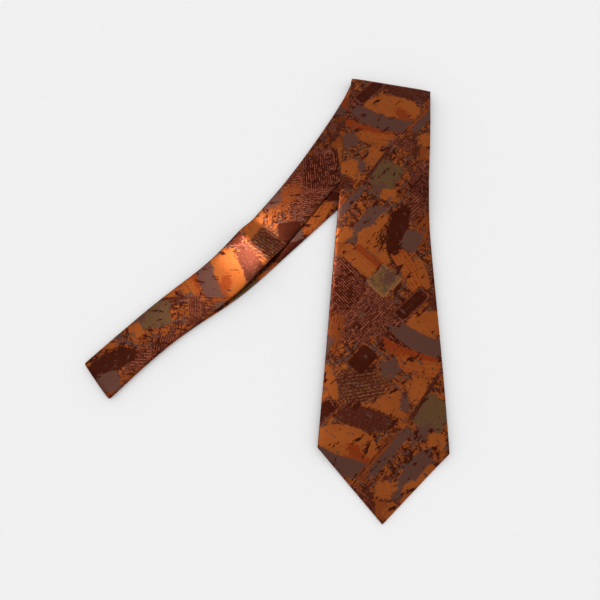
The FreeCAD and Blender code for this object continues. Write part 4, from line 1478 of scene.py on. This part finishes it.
class NecktieStage(bpy.types.PropertyGroup):
    """The light that the tie is seen in."""
    room_light: bpy.props.FloatProperty(
        name="Room", description="Strength of the even light all round", default=0.86, min=0.0)
    sun_light: bpy.props.FloatProperty(
        name="High softbox", description="Strength of the broad lamp", default=0.2, min=0.0)
    lamp_power: bpy.props.FloatProperty(
        name="Small softbox", description="Power of the lamp that glances off the silk",
        default=0.034, min=0.0, precision=3, unit="POWER")


class NECKTIE_OT_cloth(bpy.types.Operator):
    """Fold the five runs of printed silk"""
    bl_idname = "necktie.cloth"
    bl_label = "Printed cloth"

    def execute(self, _context):
        make_cloth()
        return {"FINISHED"}


class NECKTIE_OT_interlining(bpy.types.Operator):
    """Lay the wool interlining inside the cloth"""
    bl_idname = "necktie.interlining"
    bl_label = "Interlining"

    def execute(self, _context):
        make_wool()
        return {"FINISHED"}


class NECKTIE_OT_linings(bpy.types.Operator):
    """Line the two points"""
    bl_idname = "necktie.linings"
    bl_label = "Linings"

    def execute(self, _context):
        make_linings()
        return {"FINISHED"}


class NECKTIE_OT_keeper(bpy.types.Operator):
    """Make the keeper loop, from the printed silk of the tail"""
    bl_idname = "necktie.keeper"
    bl_label = "Keeper loop"

    def execute(self, _context):
        make_keeper()
        return {"FINISHED"}


class NECKTIE_OT_labels(bpy.types.Operator):
    """Lay the two blank labels on the blade's back"""
    bl_idname = "necktie.labels"
    bl_label = "Labels"

    def execute(self, _context):
        make_labels()
        return {"FINISHED"}


class NECKTIE_OT_threads(bpy.types.Operator):
    """Sew the stitches and tacks"""
    bl_idname = "necktie.threads"
    bl_label = "Threads"

    def execute(self, _context):
        make_threads()
        return {"FINISHED"}


class NECKTIE_OT_stage(bpy.types.Operator):
    """Set up the camera, the pale floor and the soft light"""
    bl_idname = "necktie.stage"
    bl_label = "Stage"

    def execute(self, _context):
        make_camera()
        make_lights(make_floor())
        return {"FINISHED"}


OPERATORS = (
    NECKTIE_OT_stage, NECKTIE_OT_cloth, NECKTIE_OT_interlining, NECKTIE_OT_linings,
    NECKTIE_OT_keeper, NECKTIE_OT_labels, NECKTIE_OT_threads,
)
GROUPS = {
    "necktie_cloth": NecktieCloth,
    "necktie_print": NecktiePrint,
    "necktie_trim": NecktieTrim,
    "necktie_stage": NecktieStage,
}


class NECKTIE_PT_sidebar(bpy.types.Panel):
    """Lists the tie's sizes, colours and steps"""
    bl_idname = "NECKTIE_PT_sidebar"
    bl_label = "Folded silk necktie"
    bl_space_type = "VIEW_3D"
    bl_region_type = "UI"
    bl_category = "Necktie"

    def draw(self, context):
        for group_name, group in GROUPS.items():
            box = self.layout.box()
            for setting in group.__annotations__:
                box.prop(getattr(context.scene, group_name), setting)
        for operator in OPERATORS:
            self.layout.operator(operator.bl_idname)


def register():
    for added in (*GROUPS.values(), *OPERATORS, NECKTIE_PT_sidebar):
        bpy.utils.register_class(added)
    for group_name, group in GROUPS.items():
        setattr(bpy.types.Scene, group_name, bpy.props.PointerProperty(type=group))


def unregister():
    for group_name in GROUPS:
        delattr(bpy.types.Scene, group_name)
    for added in (NECKTIE_PT_sidebar, *reversed(OPERATORS), *reversed(GROUPS.values())):
        bpy.utils.unregister_class(added)


def main():
    register()
    bpy.ops.necktie.stage()
    bpy.ops.necktie.cloth()
    bpy.ops.necktie.interlining()
    bpy.ops.necktie.linings()
    bpy.ops.necktie.keeper()
    bpy.ops.necktie.labels()
    bpy.ops.necktie.threads()


if __name__ == "__main__":
    main()
